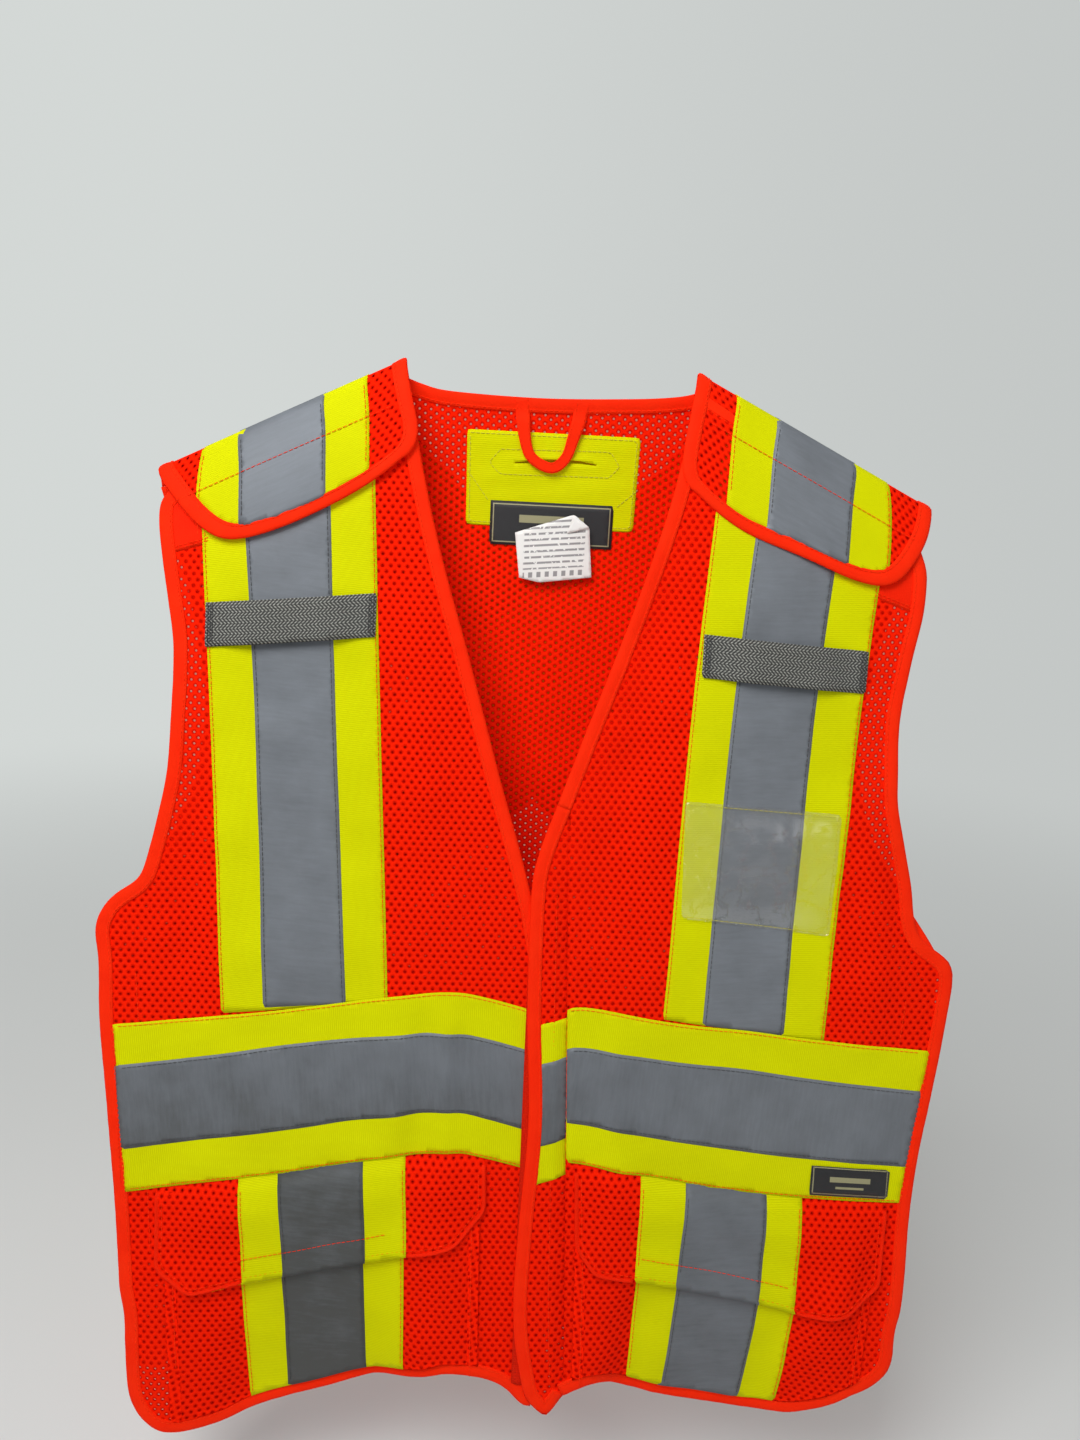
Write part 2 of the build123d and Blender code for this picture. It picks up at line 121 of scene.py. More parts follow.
def crease(x, z, start, end, width, depth):
    """A soft fold between two points, pushed outwards by depth, or inwards where depth is negative."""
    run = np.array(end, float) - np.array(start, float)
    length = np.hypot(*run)
    along = ((x - start[0]) * run[0] + (z - start[1]) * run[1]) / length**2
    across = ((x - start[0]) * run[1] - (z - start[1]) * run[0]) / length
    fade = smooth((along + 0.1) * 3) * smooth((1.1 - along) * 3)
    return depth * np.exp(-((across / width) ** 2)) * fade


CREASES = [
    # wearer's right front: start, end, width, depth outwards
    ((-232, -560), (-226, -668), 9, 1.6),
    ((-205, -240), (-214, -395), 12, -1.4),
    ((-78, -120), (-60, -300), 13, 1.5),
    ((-76, -372), (-82, -512), 22, 2.2),
    ((-47, -385), (-44, -505), 7, 1.2),
    ((-62, -392), (-66, -500), 8, -1.3),
    ((-100, -520), (-76, -650), 16, 1.8),
    ((-236, -430), (-232, -560), 10, -1.2),
    ((-60, -560), (-40, -636), 9, -1.6),
    ((-178, -590), (-190, -680), 12, 1.4),
    # wearer's left front
    ((232, -520), (168, -668), 11, 2.0),
    ((250, -470), (228, -650), 9, -1.5),
    ((72, -120), (52, -300), 14, -1.4),
    ((60, -250), (88, -380), 15, 1.3),
    ((206, -250), (232, -400), 12, 1.5),
    ((58, -400), (66, -520), 10, 1.2),
    ((90, -570), (70, -655), 13, -1.6),
    ((146, -590), (152, -665), 14, 1.3),
]


def front_folds(x, z):
    """Folds of the fronts, outwards. They fade where bodies lie on each other."""
    total = ripples(x, z, 3, 90, 190) + 0.5 * ripples(x, z, 5, 32, 70)
    for start, end, width, depth in CREASES:
        total = total + 1.35 * crease(x, z, start, end, width, depth)
    closure = smooth((np.abs(x) - 24) / 24)
    sides = smooth((238 - np.abs(x)) / 22)
    shoulders = smooth((ridge(x) - z - 70) / 60)
    return total * closure * (0.12 + 0.88 * sides) * shoulders


def front(x, z):
    """Outer face of the fronts' mesh away from the closure. Smaller is further out."""
    drop = np.maximum(ridge(x) - z, 0.0)
    y = -FRONT_DEPTH + LEAN * z + TURN_DEPTH * np.exp(-drop / 30)
    y = y - LEAN * ridge(x) * np.exp(-drop / 60)
    valley = smooth((np.abs(x) - 45) / 45) * smooth((224 - np.abs(x)) / 60)
    return y + HEM_TUCK * valley * smooth((-z - 480) / 170) - front_folds(x, z)


def fold_x(z):
    """The closure fold, left of which the strip begins."""
    share = (z - FOLD_TOP[1]) / (FOLD_BOTTOM[1] - FOLD_TOP[1])
    return FOLD_TOP[0] + (FOLD_BOTTOM[0] - FOLD_TOP[0]) * share


def left(x, z):
    """The left front, which lies over the right one and rolls back along the closure fold."""
    y = front(x, z) - LAP * (1 - smooth((x - 40) / 190))
    near_fold = np.clip((1.9 - (x - fold_x(z))) / 1.9, 0, 1) * smooth((-z - 285) / 60)
    return y + 0.5 * (1 - np.sqrt(1 - near_fold**2 * 0.98))


def strip_surface(x, z):
    """The closure strip, which goes in behind the fold of the left front."""
    y = front(x, z) - LAP * (1 - smooth((x - 40) / 190))
    return y + smooth((-z - 285) / 60) * (0.2 + 2.4 * smooth((x - fold_x(z) + 8) / 8))


BACK_CREASES = [
    ((-150, -420), (-120, -650), 22, 3.0),
    ((128, -430), (150, -655), 22, 3.0),
    ((20, -470), (-10, -655), 26, 2.2),
    ((-205, -240), (-150, -330), 16, 2.0),
    ((200, -250), (150, -340), 16, 2.0),
]


def back_folds(x, z):
    total = 1.6 * ripples(x, z, 21, 110, 240) + 0.5 * ripples(x, z, 23, 40, 80)
    for start, end, width, depth in BACK_CREASES:
        total = total + crease(x, z, start, end, width, depth)
    drop = ridge(x) - z
    return total * smooth((drop - 60) / 120) * smooth((226 - np.abs(x)) / 50)


def back(x, z):
    """Inner face of the back panel. Low down its sides come forward to meet the fronts."""
    drop = np.maximum(ridge(x) - z, 0.0)
    hanging = 0.4 + 11.6 * (1 - np.exp(-drop / 35)) + back_folds(x, z)
    share = smooth((np.abs(x) - 185) / 65) * smooth((-z - 210) / 140)
    return hanging + share * (front(x, z) + SIDE_STACK - hanging)


# ---- outlines ------------------------------------------------------------------------------------
def curve(points, step=3.0):
    """A smooth line through points, ends included."""
    p = np.array(points, float)
    if len(p) == 2:
        count = max(int(np.hypot(*(p[1] - p[0])) / step), 1)
        return p[0] + (p[1] - p[0]) * np.linspace(0, 1, count + 1)[:, None]
    padded = np.vstack([2 * p[0] - p[1], p, 2 * p[-1] - p[-2]])
    line = []
    for a, b, c, d in zip(padded, padded[1:], padded[2:], padded[3:]):
        count = max(int(np.hypot(*(c - b)) / step), 1)
        for t in np.arange(count) / count:
            lean_in, lean_out = (c - a) / 2, (d - b) / 2
            h = 2 * t**3 - 3 * t**2 + 1, t**3 - 2 * t**2 + t, 3 * t**2 - 2 * t**3, t**3 - t**2
            line.append(h[0] * b + h[1] * lean_in + h[2] * c + h[3] * lean_out)
    line.append(p[-1])
    return np.array(line)


def loop(*stretches, step=3.0):
    """A closed outline of smooth stretches that meet at corners."""
    parts = [curve(s, step)[:-1] for s in stretches]
    return np.vstack(parts)


def even(line, step, closed=False):
    """The same line with points evenly spaced."""
    line = np.vstack([line, line[:1]]) if closed else line
    gaps = np.hypot(*np.diff(line, axis=0).T)
    at = np.concatenate([[0], np.cumsum(gaps)])
    count = max(int(round(at[-1] / step)), 2)
    where = np.linspace(0, at[-1], count + 1)
    out = np.column_stack([np.interp(where, at, line[:, i]) for i in range(line.shape[1])])
    return out[:-1] if closed else out


def soften(line, reach):
    """Rounds the corners of a closed outline of even points."""
    out = line.copy()
    for _ in range(reach):
        out = 0.5 * out + 0.25 * (np.roll(out, 1, 0) + np.roll(out, -1, 0))
    return out


def open_soften(line, reach):
    """Rounds the corners of an open line, whose ends stay."""
    out = line.copy()
    for _ in range(reach):
        out[1:-1] = 0.5 * out[1:-1] + 0.25 * (out[:-2] + out[2:])
    return out


def mirrored(points):
    return [(-x, z) for x, z in points]


def signed_area(line):
    x, z = line.T
    return 0.5 * float(np.sum(x * np.roll(z, -1) - np.roll(x, -1) * z))


def inward(line, closed=True):
    """Unit normals that point into a closed outline, or to the left of an open line."""
    if closed:
        tangent = np.roll(line, -1, 0) - np.roll(line, 1, 0)
    else:
        tangent = np.gradient(line, axis=0)
    tangent = tangent / np.maximum(np.hypot(*tangent.T), 1e-9)[:, None]
    normal = np.column_stack([-tangent[:, 1], tangent[:, 0]])
    if closed and signed_area(line) < 0:
        normal = -normal
    return normal


def inset(line, amount):
    line = even(line, 3.0, closed=True)
    return line + inward(line) * amount


def inside_ring(points, ring):
    """Which points lie in a closed outline, by counting its crossings."""
    inside = np.zeros(len(points), bool)
    for a, b in zip(ring, np.roll(ring, -1, 0)):
        crosses = (a[1] > points[:, 1]) != (b[1] > points[:, 1])
        height = b[1] - a[1] if abs(b[1] - a[1]) > 1e-12 else 1e-12
        inside ^= crosses & (points[:, 0] < (b[0] - a[0]) * (points[:, 1] - a[1]) / height + a[0])
    return inside


def nearest_on(points, ring):
    """Distance from each point to a closed outline, and the nearest place on it."""
    nearest, snapped = np.full(len(points), 1e9), points.copy()
    for a, b in zip(ring, np.roll(ring, -1, 0)):
        run = b - a
        t = np.clip(((points - a) @ run) / max(run @ run, 1e-12), 0, 1)
        foot = a + t[:, None] * run
        gap = np.hypot(*(points - foot).T)
        closer = gap < nearest
        nearest[closer], snapped[closer] = gap[closer], foot[closer]
    return nearest, snapped


def polygon(corners, step=3.0):
    """A closed outline with straight sides."""
    return loop(*zip(corners, [*corners[1:], corners[0]]), step=step)


def open_polygon(points):
    """An open line with straight stretches."""
    stretches = [curve((a, b), 2.0)[:-1] for a, b in zip(points, points[1:])]
    return np.vstack(stretches + [np.array([points[-1]], float)])


def side_by_side(left_edge, right_edge):
    """Outline of a tape between two edges given from top to bottom."""
    return np.vstack([curve(left_edge), curve(right_edge)[::-1]])


# ---- meshes --------------------------------------------------------------------------------------
def new_object(name, points, faces, material, uvs=None):
    """An object from millimetre points. uvs is one (u, v) in millimetres for each point."""
    mesh = bpy.data.meshes.new(name)
    mesh.from_pydata((np.asarray(points, float) * MM).tolist(), [], [list(f) for f in faces])
    mesh.validate()
    if uvs is not None:
        layer = mesh.uv_layers.new(name="Cloth")
        corners = np.zeros(len(mesh.loops), int)
        mesh.loops.foreach_get("vertex_index", corners)
        layer.data.foreach_set("uv", np.asarray(uvs, np.float32)[corners].ravel())
    mesh.polygons.foreach_set("use_smooth", [True] * len(mesh.polygons))
    obj = bpy.data.objects.new(name, mesh)
    bpy.context.scene.collection.objects.link(obj)
    obj.data.materials.append(material)
    return obj


def filled(outline, holes=(), step=4.0):
    """Triangles that fill an outline in two dimensions: points and faces."""
    rings = [even(np.asarray(outline, float), step, closed=True)]
    rings += [even(np.asarray(h, float), min(step, 2.0), closed=True) for h in holes]
    if signed_area(rings[0]) < 0:
        rings[0] = rings[0][::-1]
    rings[1:] = [r[::-1] if signed_area(r) > 0 else r for r in rings[1:]]
    low, high = rings[0].min(0), rings[0].max(0)
    columns = np.arange(low[0] + step / 2, high[0], step)
    rows = np.arange(low[1] + step / 2, high[1], step * 0.87)
    grid = np.array([(x + (step / 2 if j % 2 else 0), z) for j, z in enumerate(rows) for x in columns])
    keep = inside_ring(grid, rings[0])
    for ring in rings:
        keep &= nearest_on(grid, ring)[0] > step * 0.45
    for hole in rings[1:]:
        keep &= ~inside_ring(grid, hole)
    grid = grid[keep]
    points = np.vstack(rings + [grid])
    edges, start = [], 0
    for ring in rings:
        count = len(ring)
        edges += [(start + i, start + (i + 1) % count) for i in range(count)]
        start += count
    # mode 1 keeps what lies inside the outlines
    found = delaunay_2d_cdt([Vector(p) for p in points], edges, [], 1, 1e-5)
    flat = np.array([tuple(v) for v in found[0]])
    faces = np.array([f for f in found[2] if len(f) == 3], int)
    centres = flat[faces].mean(1)
    in_hole = np.zeros(len(centres), bool)
    for hole in rings[1:]:
        in_hole |= inside_ring(centres, hole)
    return flat, faces[~in_hole]


def open_edges(faces):
    """Edges with one face, as they run round it."""
    seen = {}
    for f in faces:
        for a, b in ((f[0], f[1]), (f[1], f[2]), (f[2], f[0])):
            seen[(a, b)] = True
    return [(a, b) for a, b in seen if (b, a) not in seen]


def slab(name, outline, place, out, thick, material, holes=(), step=4.0, turn=None, edge=0.0, uv_of=None):
    """A sheet cut to an outline: place(x, z, w) puts a point w outwards of the draped surface.

    edge rounds the rim by that much, and turn is the angle of the cloth's grain.
    """
    flat, faces = filled(outline, holes, step)
    x, z = flat.T
    rim = open_edges(faces)
    sunk = np.zeros(len(flat))
    sunk[list({i for e in rim for i in e})] = edge
    outer = place(x, z, np.full(len(x), out + thick) - sunk)
    inner = place(x, z, np.full(len(x), out) + np.minimum(sunk, thick * 0.4))
    points = np.vstack([outer, inner])
    count = len(flat)
    # seen from -Y with +X to the right and +Z up, counter-clockwise faces look outwards
    all_faces = [tuple(f) for f in faces]
    all_faces += [tuple(int(i) + count for i in f[::-1]) for f in faces]
    all_faces += [(b, a, a + count, b + count) for a, b in rim]
    u, v = (x, z) if uv_of is None else uv_of(x, z)
    if turn:
        c, s = math.cos(turn), math.sin(turn)
        u, v = c * u - s * v, s * u + c * v
    uvs = np.tile(np.column_stack([u, v]), (2, 1))
    return new_object(name, points, all_faces, material, uvs)


def on(surface):
    """place() for a draped surface y = surface(x, z), outwards being -Y."""
    return lambda x, z, w: np.column_stack([x, surface(x, z) - w, z])


def behind(surface):
    """place() for the back, where outwards is +Y."""
    return lambda x, z, w: np.column_stack([x, surface(x, z) + w, z])


# across the binding from its sewn edge round the rim and back, as (inwards, outwards)
EDGE_PROFILE = [
    (8.7, 0.15), (8.5, 0.85), (7.6, 1.02), (6.9, 0.86), (6.1, 1.1), (4.4, 1.32), (2.4, 1.3), (0.9, 0.95),
    (0.1, 0.25), (0.0, -0.45), (0.5, -1.2), (1.8, -1.65), (4.4, -1.7), (7.2, -1.45), (8.0, -1.3), (8.3, -0.7),
]
EDGE_STEP = 2.6  # between the binding's cross sections


def binding(name, line, place, material, closed=False, lift=0.0, narrow=1.0, seed=1):
    """Edge binding folded over the cloth along a line, with its small puckers."""
    line = even(np.asarray(line, float), EDGE_STEP, closed)
    normal = inward(line, closed)
    for _ in range(3):  # eases the binding round sharp corners
        if closed:
            normal = (np.roll(normal, 1, 0) + normal + np.roll(normal, -1, 0)) / 3
        else:
            ends = normal[[0, -1]]
            padded = np.vstack([normal[:1], normal, normal[-1:]])
            normal = (padded[:-2] + padded[1:-1] + padded[2:]) / 3
            normal[0], normal[-1] = ends
        normal /= np.hypot(*normal.T)[:, None]
    count, sides = len(line), len(EDGE_PROFILE)
    at = np.concatenate([[0], np.cumsum(np.hypot(*np.diff(line, axis=0).T))])
    pucker = 0.14 * ripples(at, at * 0, seed, 7, 19) + 0.12 * ripples(at, at * 0, seed + 1, 40, 90)
    points, uvs = [], []
    for inwards, outwards in EDGE_PROFILE:
        at_point = line + normal * inwards * narrow
        swell = outwards + lift + pucker * (1 if outwards > 0 else 0.3)
        points.append(place(at_point[:, 0], at_point[:, 1], swell))
        uvs.append(np.column_stack([at, np.full(count, inwards + outwards)]))
    points = np.stack(points, 1).reshape(-1, 3)
    uvs = np.stack(uvs, 1).reshape(-1, 2)
    flip = closed and signed_area(line) < 0
    faces = []
    for i in range(count if closed else count - 1):
        j = (i + 1) % count
        for k in range(sides):
            m = (k + 1) % sides
            face = (i * sides + k, j * sides + k, j * sides + m, i * sides + m)
            faces.append(face[::-1] if flip else face)
    if not closed:
        first = tuple(range(sides))
        last = tuple((count - 1) * sides + k for k in range(sides))
        faces += [first, last[::-1]]
    obj = new_object(name, points, faces, material, uvs)
    fix_normals(obj)
    return obj


def fix_normals(obj):
    """Makes all faces of a closed mesh look outwards."""
    made = bmesh.new()
    made.from_mesh(obj.data)
    bmesh.ops.recalc_face_normals(made, faces=made.faces)
    made.to_mesh(obj.data)
    made.free()


class Thread:
    """Collects stitches, so that all those of one colour on one body are one mesh."""

    def __init__(self):
        self.points, self.faces, self.total = [], [], 0

    def stitch(self, a, b, out, radius):
        """One stitch from a to b with its middle proud of the cloth."""
        run = b - a
        length = np.linalg.norm(run)
        if length < 1e-6:
            return
        run = run / length
        side = np.cross(run, out)
        side /= max(np.linalg.norm(side), 1e-9)
        up = np.cross(side, run)
        rings = []
        for t, rise, girth in ((0, -0.25, 0.55), (0.22, 0.16, 1), (0.78, 0.16, 1), (1, -0.25, 0.55)):
            middle = a + (b - a) * t + up * rise * radius * 3
            for k in range(6):
                angle = k * math.pi / 3
                offset = side * math.cos(angle) + up * math.sin(angle)
                rings.append(middle + offset * radius * girth)
        base = self.total
        self.points += rings
        self.total += 24
        for r in range(3):
            for k in range(6):
                m = (k + 1) % 6
                low, high = base + r * 6, base + r * 6 + 6
                self.faces.append((low + k, low + m, high + m, high + k))
        self.faces.append(tuple(base + k for k in range(5, -1, -1)))
        self.faces.append(tuple(base + 18 + k for k in range(6)))

    def run(self, line, place, height, length=2.6, gap=0.55, radius=0.24, closed=False, facing=-1):
        """Stitches along a line on a surface, height proud of it."""
        line = even(np.asarray(line, float), (length + gap) / 4, closed)
        where = place(line[:, 0], line[:, 1], np.full(len(line), height + 0.13))
        out = np.array([0.0, facing, 0.0])
        share = length / (length + gap)
        for i in range(0, len(where) - 4, 4):
            a, b = where[i], where[i] + (where[i + 4] - where[i]) * share
            self.stitch(a, b, out, radius)

    def made(self, name, material):
        return new_object(name, self.points, self.faces, material)


# ---- materials -----------------------------------------------------------------------------------
class Nodes:
    """Adds nodes to a node tree."""

    def __init__(self, tree):
        self.tree = tree

    def wire(self, a, b):
        self.tree.links.new(a, b)

    def give(self, socket, given):
        """Sets a socket to a constant, or links it."""
        if isinstance(given, (int, float, tuple)):
            socket.default_value = given
        elif given is not None:
            self.wire(given, socket)

    def value(self, op, a, b=None, c=None):
        n = self.tree.nodes.new("ShaderNodeMath")
        n.operation = op
        for socket, given in zip(n.inputs, (a, b, c)):
            self.give(socket, given)
        return n.outputs[0]

    def total(self, *terms):
        """Weighted sum of (value, weight) pairs."""
        result = None
        for value, weight in terms:
            part = value if weight == 1 else self.value("MULTIPLY", value, weight)
            result = part if result is None else self.value("ADD", result, part)
        return result

    def near(self, value, centre, low, high):
        """1 where a value is less than low from a centre, fading to 0 at high."""
        away = self.value("SUBTRACT", value, centre) if centre else value
        return self.ramp(self.value("ABSOLUTE", away), low, high, 1.0, 0.0)

    def vector(self, op, a, b=None):
        n = self.tree.nodes.new("ShaderNodeVectorMath")
        n.operation = op
        for socket, given in zip(n.inputs, (a, b)):
            self.give(socket, given)
        return n.outputs["Value" if op == "LENGTH" else "Vector"]

    def split(self, vector):
        n = self.tree.nodes.new("ShaderNodeSeparateXYZ")
        self.wire(vector, n.inputs[0])
        return n.outputs

    def ramp(self, value, low, high, to_low=0.0, to_high=1.0):
        n = self.tree.nodes.new("ShaderNodeMapRange")
        n.interpolation_type = "SMOOTHSTEP"
        self.wire(value, n.inputs["Value"])
        n.inputs["From Min"].default_value = low
        n.inputs["From Max"].default_value = high
        n.inputs["To Min"].default_value = to_low
        n.inputs["To Max"].default_value = to_high
        return n.outputs[0]

    def noise(self, vector, scale, detail=3.0, rough=0.5):
        n = self.tree.nodes.new("ShaderNodeTexNoise")
        self.wire(vector, n.inputs["Vector"])
        n.inputs["Scale"].default_value = scale
        n.inputs["Detail"].default_value = detail
        n.inputs["Roughness"].default_value = rough
        return n.outputs[0]

    def colours(self, factor, stops):
        n = self.tree.nodes.new("ShaderNodeValToRGB")
        self.wire(factor, n.inputs[0])
        ends = n.color_ramp.elements
        ends[0].position, ends[0].color = stops[0][0], (*stops[0][1], 1)
        ends[1].position, ends[1].color = stops[-1][0], (*stops[-1][1], 1)
        for at, colour in stops[1:-1]:
            middle = n.color_ramp.elements.new(at)
            middle.color = (*colour, 1)
        return n.outputs[0]

    def wave(self, coordinate, period):
        """A sine from 0 to 1 of a coordinate in millimetres."""
        turned = self.value("MULTIPLY", coordinate, 2 * math.pi / period)
        return self.value("MULTIPLY_ADD", self.value("SINE", turned), 0.5, 0.5)


class Paint(Nodes):
    """A node material under construction."""

    def __init__(self, name):
        self.material = bpy.data.materials.new(name)
        self.material.use_nodes = True
        super().__init__(self.material.node_tree)
        self.tree.nodes.clear()
        self.out = self.tree.nodes.new("ShaderNodeOutputMaterial")
        self.shader = self.tree.nodes.new("ShaderNodeBsdfPrincipled")
        self.wire(self.shader.outputs[0], self.out.inputs[0])
        uv = self.tree.nodes.new("ShaderNodeUVMap")
        uv.uv_map = "Cloth"
        self.uv = uv.outputs[0]
        place = self.tree.nodes.new("ShaderNodeTexCoord")
        self.place = place.outputs["Object"]

    def bump(self, height, distance_mm, strength=1.0):
        n = self.tree.nodes.new("ShaderNodeBump")
        n.inputs["Strength"].default_value = strength
        n.inputs["Distance"].default_value = distance_mm * MM
        self.wire(height, n.inputs["Height"])
        self.wire(n.outputs[0], self.shader.inputs["Normal"])

    def set(self, **given):
        for name, value in given.items():
            self.give(self.shader.inputs[name.replace("_", " ")], value)

    def mix_over(self, other, share):
        """Lays another shader over the material's own."""
        mix = self.tree.nodes.new("ShaderNodeMixShader")
        self.wire(share, mix.inputs[0])
        self.wire(self.shader.outputs[0], mix.inputs[1])
        self.wire(other.outputs[0], mix.inputs[2])
        self.wire(mix.outputs[0], self.out.inputs[0])

    def lattice(self, pitch_x, pitch_y, shift=(0.0, 0.0)):
        """Distance in millimetres to the nearest point of a rectangular lattice."""
        moved = self.vector("ADD", self.uv, (shift[0], shift[1], 0))
        cells = self.vector("DIVIDE", moved, (pitch_x, pitch_y, 1))
        part = self.vector("SUBTRACT", self.vector("FRACTION", cells), (0.5, 0.5, 0))
        flat = self.vector("MULTIPLY", part, (pitch_x, pitch_y, 0))
        return self.vector("LENGTH", flat)


ORANGE = (0.96, 0.016, 0.001)
ORANGE_DEEP = (0.87, 0.010, 0.0006)
YELLOW = (0.63, 0.65, 0.0006)


def mesh_cloth(name="orange_mesh"):
    """Knitted mesh: small round holes in staggered rows between soft knitted ridges."""
    p = Paint(name)
    first = p.lattice(5.0, 7.0)
    second = p.lattice(5.0, 7.0, (2.5, 3.5))
    nearest = p.value("MINIMUM", first, second)
    hole = p.ramp(nearest, 0.55, 0.86, 1.0, 0.0)
    shade, yarn = p.noise(p.uv, 0.035, 2.0), p.noise(p.uv, 1.9, 2.0)
    rim = p.ramp(nearest, 0.9, 2.0)
    tone = p.total((rim, 0.55), (yarn, 0.3), (shade, 0.2))
    base = p.colours(tone, [(0.15, (0.56, 0.006, 0.0005)), (0.55, ORANGE_DEEP), (0.95, ORANGE)])
    u, v, _ = p.split(p.uv)
    knit = p.value("MULTIPLY", p.wave(u, 0.9), p.wave(v, 0.8))
    p.bump(p.total((rim, 0.8), (knit, 0.25)), 0.5, 0.7)
    p.set(Base_Color=base, Roughness=0.8, Specular_IOR_Level=0.02)
    # painted glow: the mesh emits a little of its own colour whatever the lamps do
    p.set(Emission_Color=base, Emission_Strength=0.06)
    clear = p.tree.nodes.new("ShaderNodeBsdfTransparent")
    # the yarn's fuzz tints what shows through
    clear.inputs[0].default_value = (0.92, 0.55, 0.48, 1)
    p.mix_over(clear, hole)
    return p.material


def plain_cloth(name, light, dark, painted_glow=0.06, period=0.9, rough=0.7):
    """Tightly woven tape or binding."""
    p = Paint(name)
    u, v, _ = p.split(p.uv)
    weave = p.value("MULTIPLY", p.wave(u, period), p.wave(v, period * 0.8))
    shade = p.noise(p.uv, 0.06, 3.0)
    base = p.colours(p.total((weave, 0.35), (shade, 0.65)), [(0.2, dark), (0.8, light)])
    p.bump(weave, 0.15, 0.6)
    p.set(Base_Color=base, Roughness=rough, Specular_IOR_Level=0.05)
    # painted glow: the cloth emits a little of its own colour whatever the lamps do
    if painted_glow:
        p.set(Emission_Color=base, Emission_Strength=painted_glow)
    return p.material


def ribbed_tape(name="yellow_tape"):
    """Fluorescent yellow polyester with fine ribs across the tape."""
    p = Paint(name)
    _, v, _ = p.split(p.uv)
    rib = p.wave(v, 1.25)
    yarn = p.noise(p.vector("MULTIPLY", p.uv, (0.35, 2.2, 1)), 1.0, 2.0)
    shade = p.noise(p.uv, 0.02, 3.0)
    tone = p.total((rib, 0.3), (yarn, 0.3), (shade, 0.4))
    base = p.colours(tone, [(0.2, (0.54, 0.55, 0.0004)), (0.5, YELLOW), (0.85, (0.70, 0.75, 0.001))])
    p.bump(p.total((rib, 1), (yarn, 0.5)), 0.12, 0.7)
    p.set(Base_Color=base, Roughness=0.65, Specular_IOR_Level=0.03)
    # painted glow: the tape emits a little of its own colour whatever the lamps do
    p.set(Emission_Color=base, Emission_Strength=0.06)
    return p.material


def silver_tape(name="reflective_tape"):
    """Retroreflective cloth: a satin coat of fine glass beads, scuffed in places, and painted darker from the
    waist down as painted shade.
    """
    p = Paint(name)
    beads = p.noise(p.uv, 7.0, 2.0, 0.6)
    cloudy = p.noise(p.uv, 0.03, 4.0, 0.6)
    scuff = p.noise(p.vector("MULTIPLY", p.uv, (0.05, 0.4, 1)), 1.0, 4.0, 0.7)
    tone = p.total((cloudy, 0.5), (scuff, 0.3), (beads, 0.2))
    x, _, z = p.split(p.place)
    # painted shade: the tape is painted darker from the waist down, fully on the wearer's right and in the
    # middle, less towards the wearer's left
    painted_shade = p.value("MULTIPLY", p.ramp(z, -0.56, -0.36, 0.5, 0.0), p.ramp(x, 0.0, 0.13, 1.0, 0.3))
    tone = p.value("SUBTRACT", tone, painted_shade)
    stops = [(0.0, (0.085, 0.088, 0.086)), (0.3, (0.15, 0.162, 0.178)), (0.7, (0.225, 0.245, 0.272))]
    base = p.colours(tone, stops)
    p.bump(p.total((beads, 1), (scuff, 0.5)), 0.05, 0.5)
    rough = p.ramp(cloudy, 0.3, 0.7, 0.5, 0.6)
    p.set(Base_Color=base, Metallic=0.2, Roughness=rough, Specular_IOR_Level=0.2)
    return p.material


def webbing(name="grey_webbing"):
    """Grey webbing in a coarse herringbone with pale yarns."""
    p = Paint(name)
    u, v, _ = p.split(p.uv)
    slant = p.value("ADD", u, p.value("PINGPONG", v, 3.2))
    twill = p.wave(slant, 2.3)
    cross = p.wave(v, 1.6)
    tone = p.value("MULTIPLY", twill, p.value("MULTIPLY_ADD", cross, 0.5, 0.5))
    fibre = p.noise(p.uv, 2.2, 2.0)
    tone = p.total((tone, 0.75), (fibre, 0.3))
    stops = [(0.15, (0.035, 0.036, 0.034)), (0.5, (0.12, 0.12, 0.11)), (0.85, (0.42, 0.42, 0.38))]
    p.bump(tone, 0.45, 0.9)
    p.set(Base_Color=p.colours(tone, stops), Roughness=0.72, Specular_IOR_Level=0.2)
    return p.material


def pile(name, hooked):
    """Hook or loop strip: dense tiny hooks, or matted loops."""
    p = Paint(name)
    grain = p.noise(p.uv, 1.6 if hooked else 0.9, 4.0, 0.7)
    rows = p.lattice(1.4, 1.4)
    knob = p.ramp(rows, 0.2, 0.6, 1.0, 0.0)
    height = p.total((grain, 1), (knob, 0.6 if hooked else 0.1))
    base = p.colours(height, [(0.3, (0.50, 0.007, 0.001)), (0.9, (0.93, 0.022, 0.002))])
    p.bump(height, 0.6, 1.0)
    p.set(Base_Color=base, Roughness=0.85, Specular_IOR_Level=0.08)
    # painted glow: the pile emits a little of its own colour whatever the lamps do
    p.set(Emission_Color=base, Emission_Strength=0.04)
    return p.material


def vinyl(name="clear_vinyl"):
    """Thin clear vinyl, crinkled where it has been bent."""
    p = Paint(name)
    bent = p.noise(p.uv, 0.05, 5.0, 0.65)
    line = p.near(bent, 0.5, 0.0, 0.02)
    soft = p.noise(p.uv, 0.018, 3.0, 0.5)
    p.bump(p.total((line, 0.35), (soft, 1)), 2.2, 1.0)
    p.set(Base_Color=(0.9, 0.9, 0.9, 1.0), Metallic=1.0, Roughness=0.12, Alpha=0.1)
    return p.material


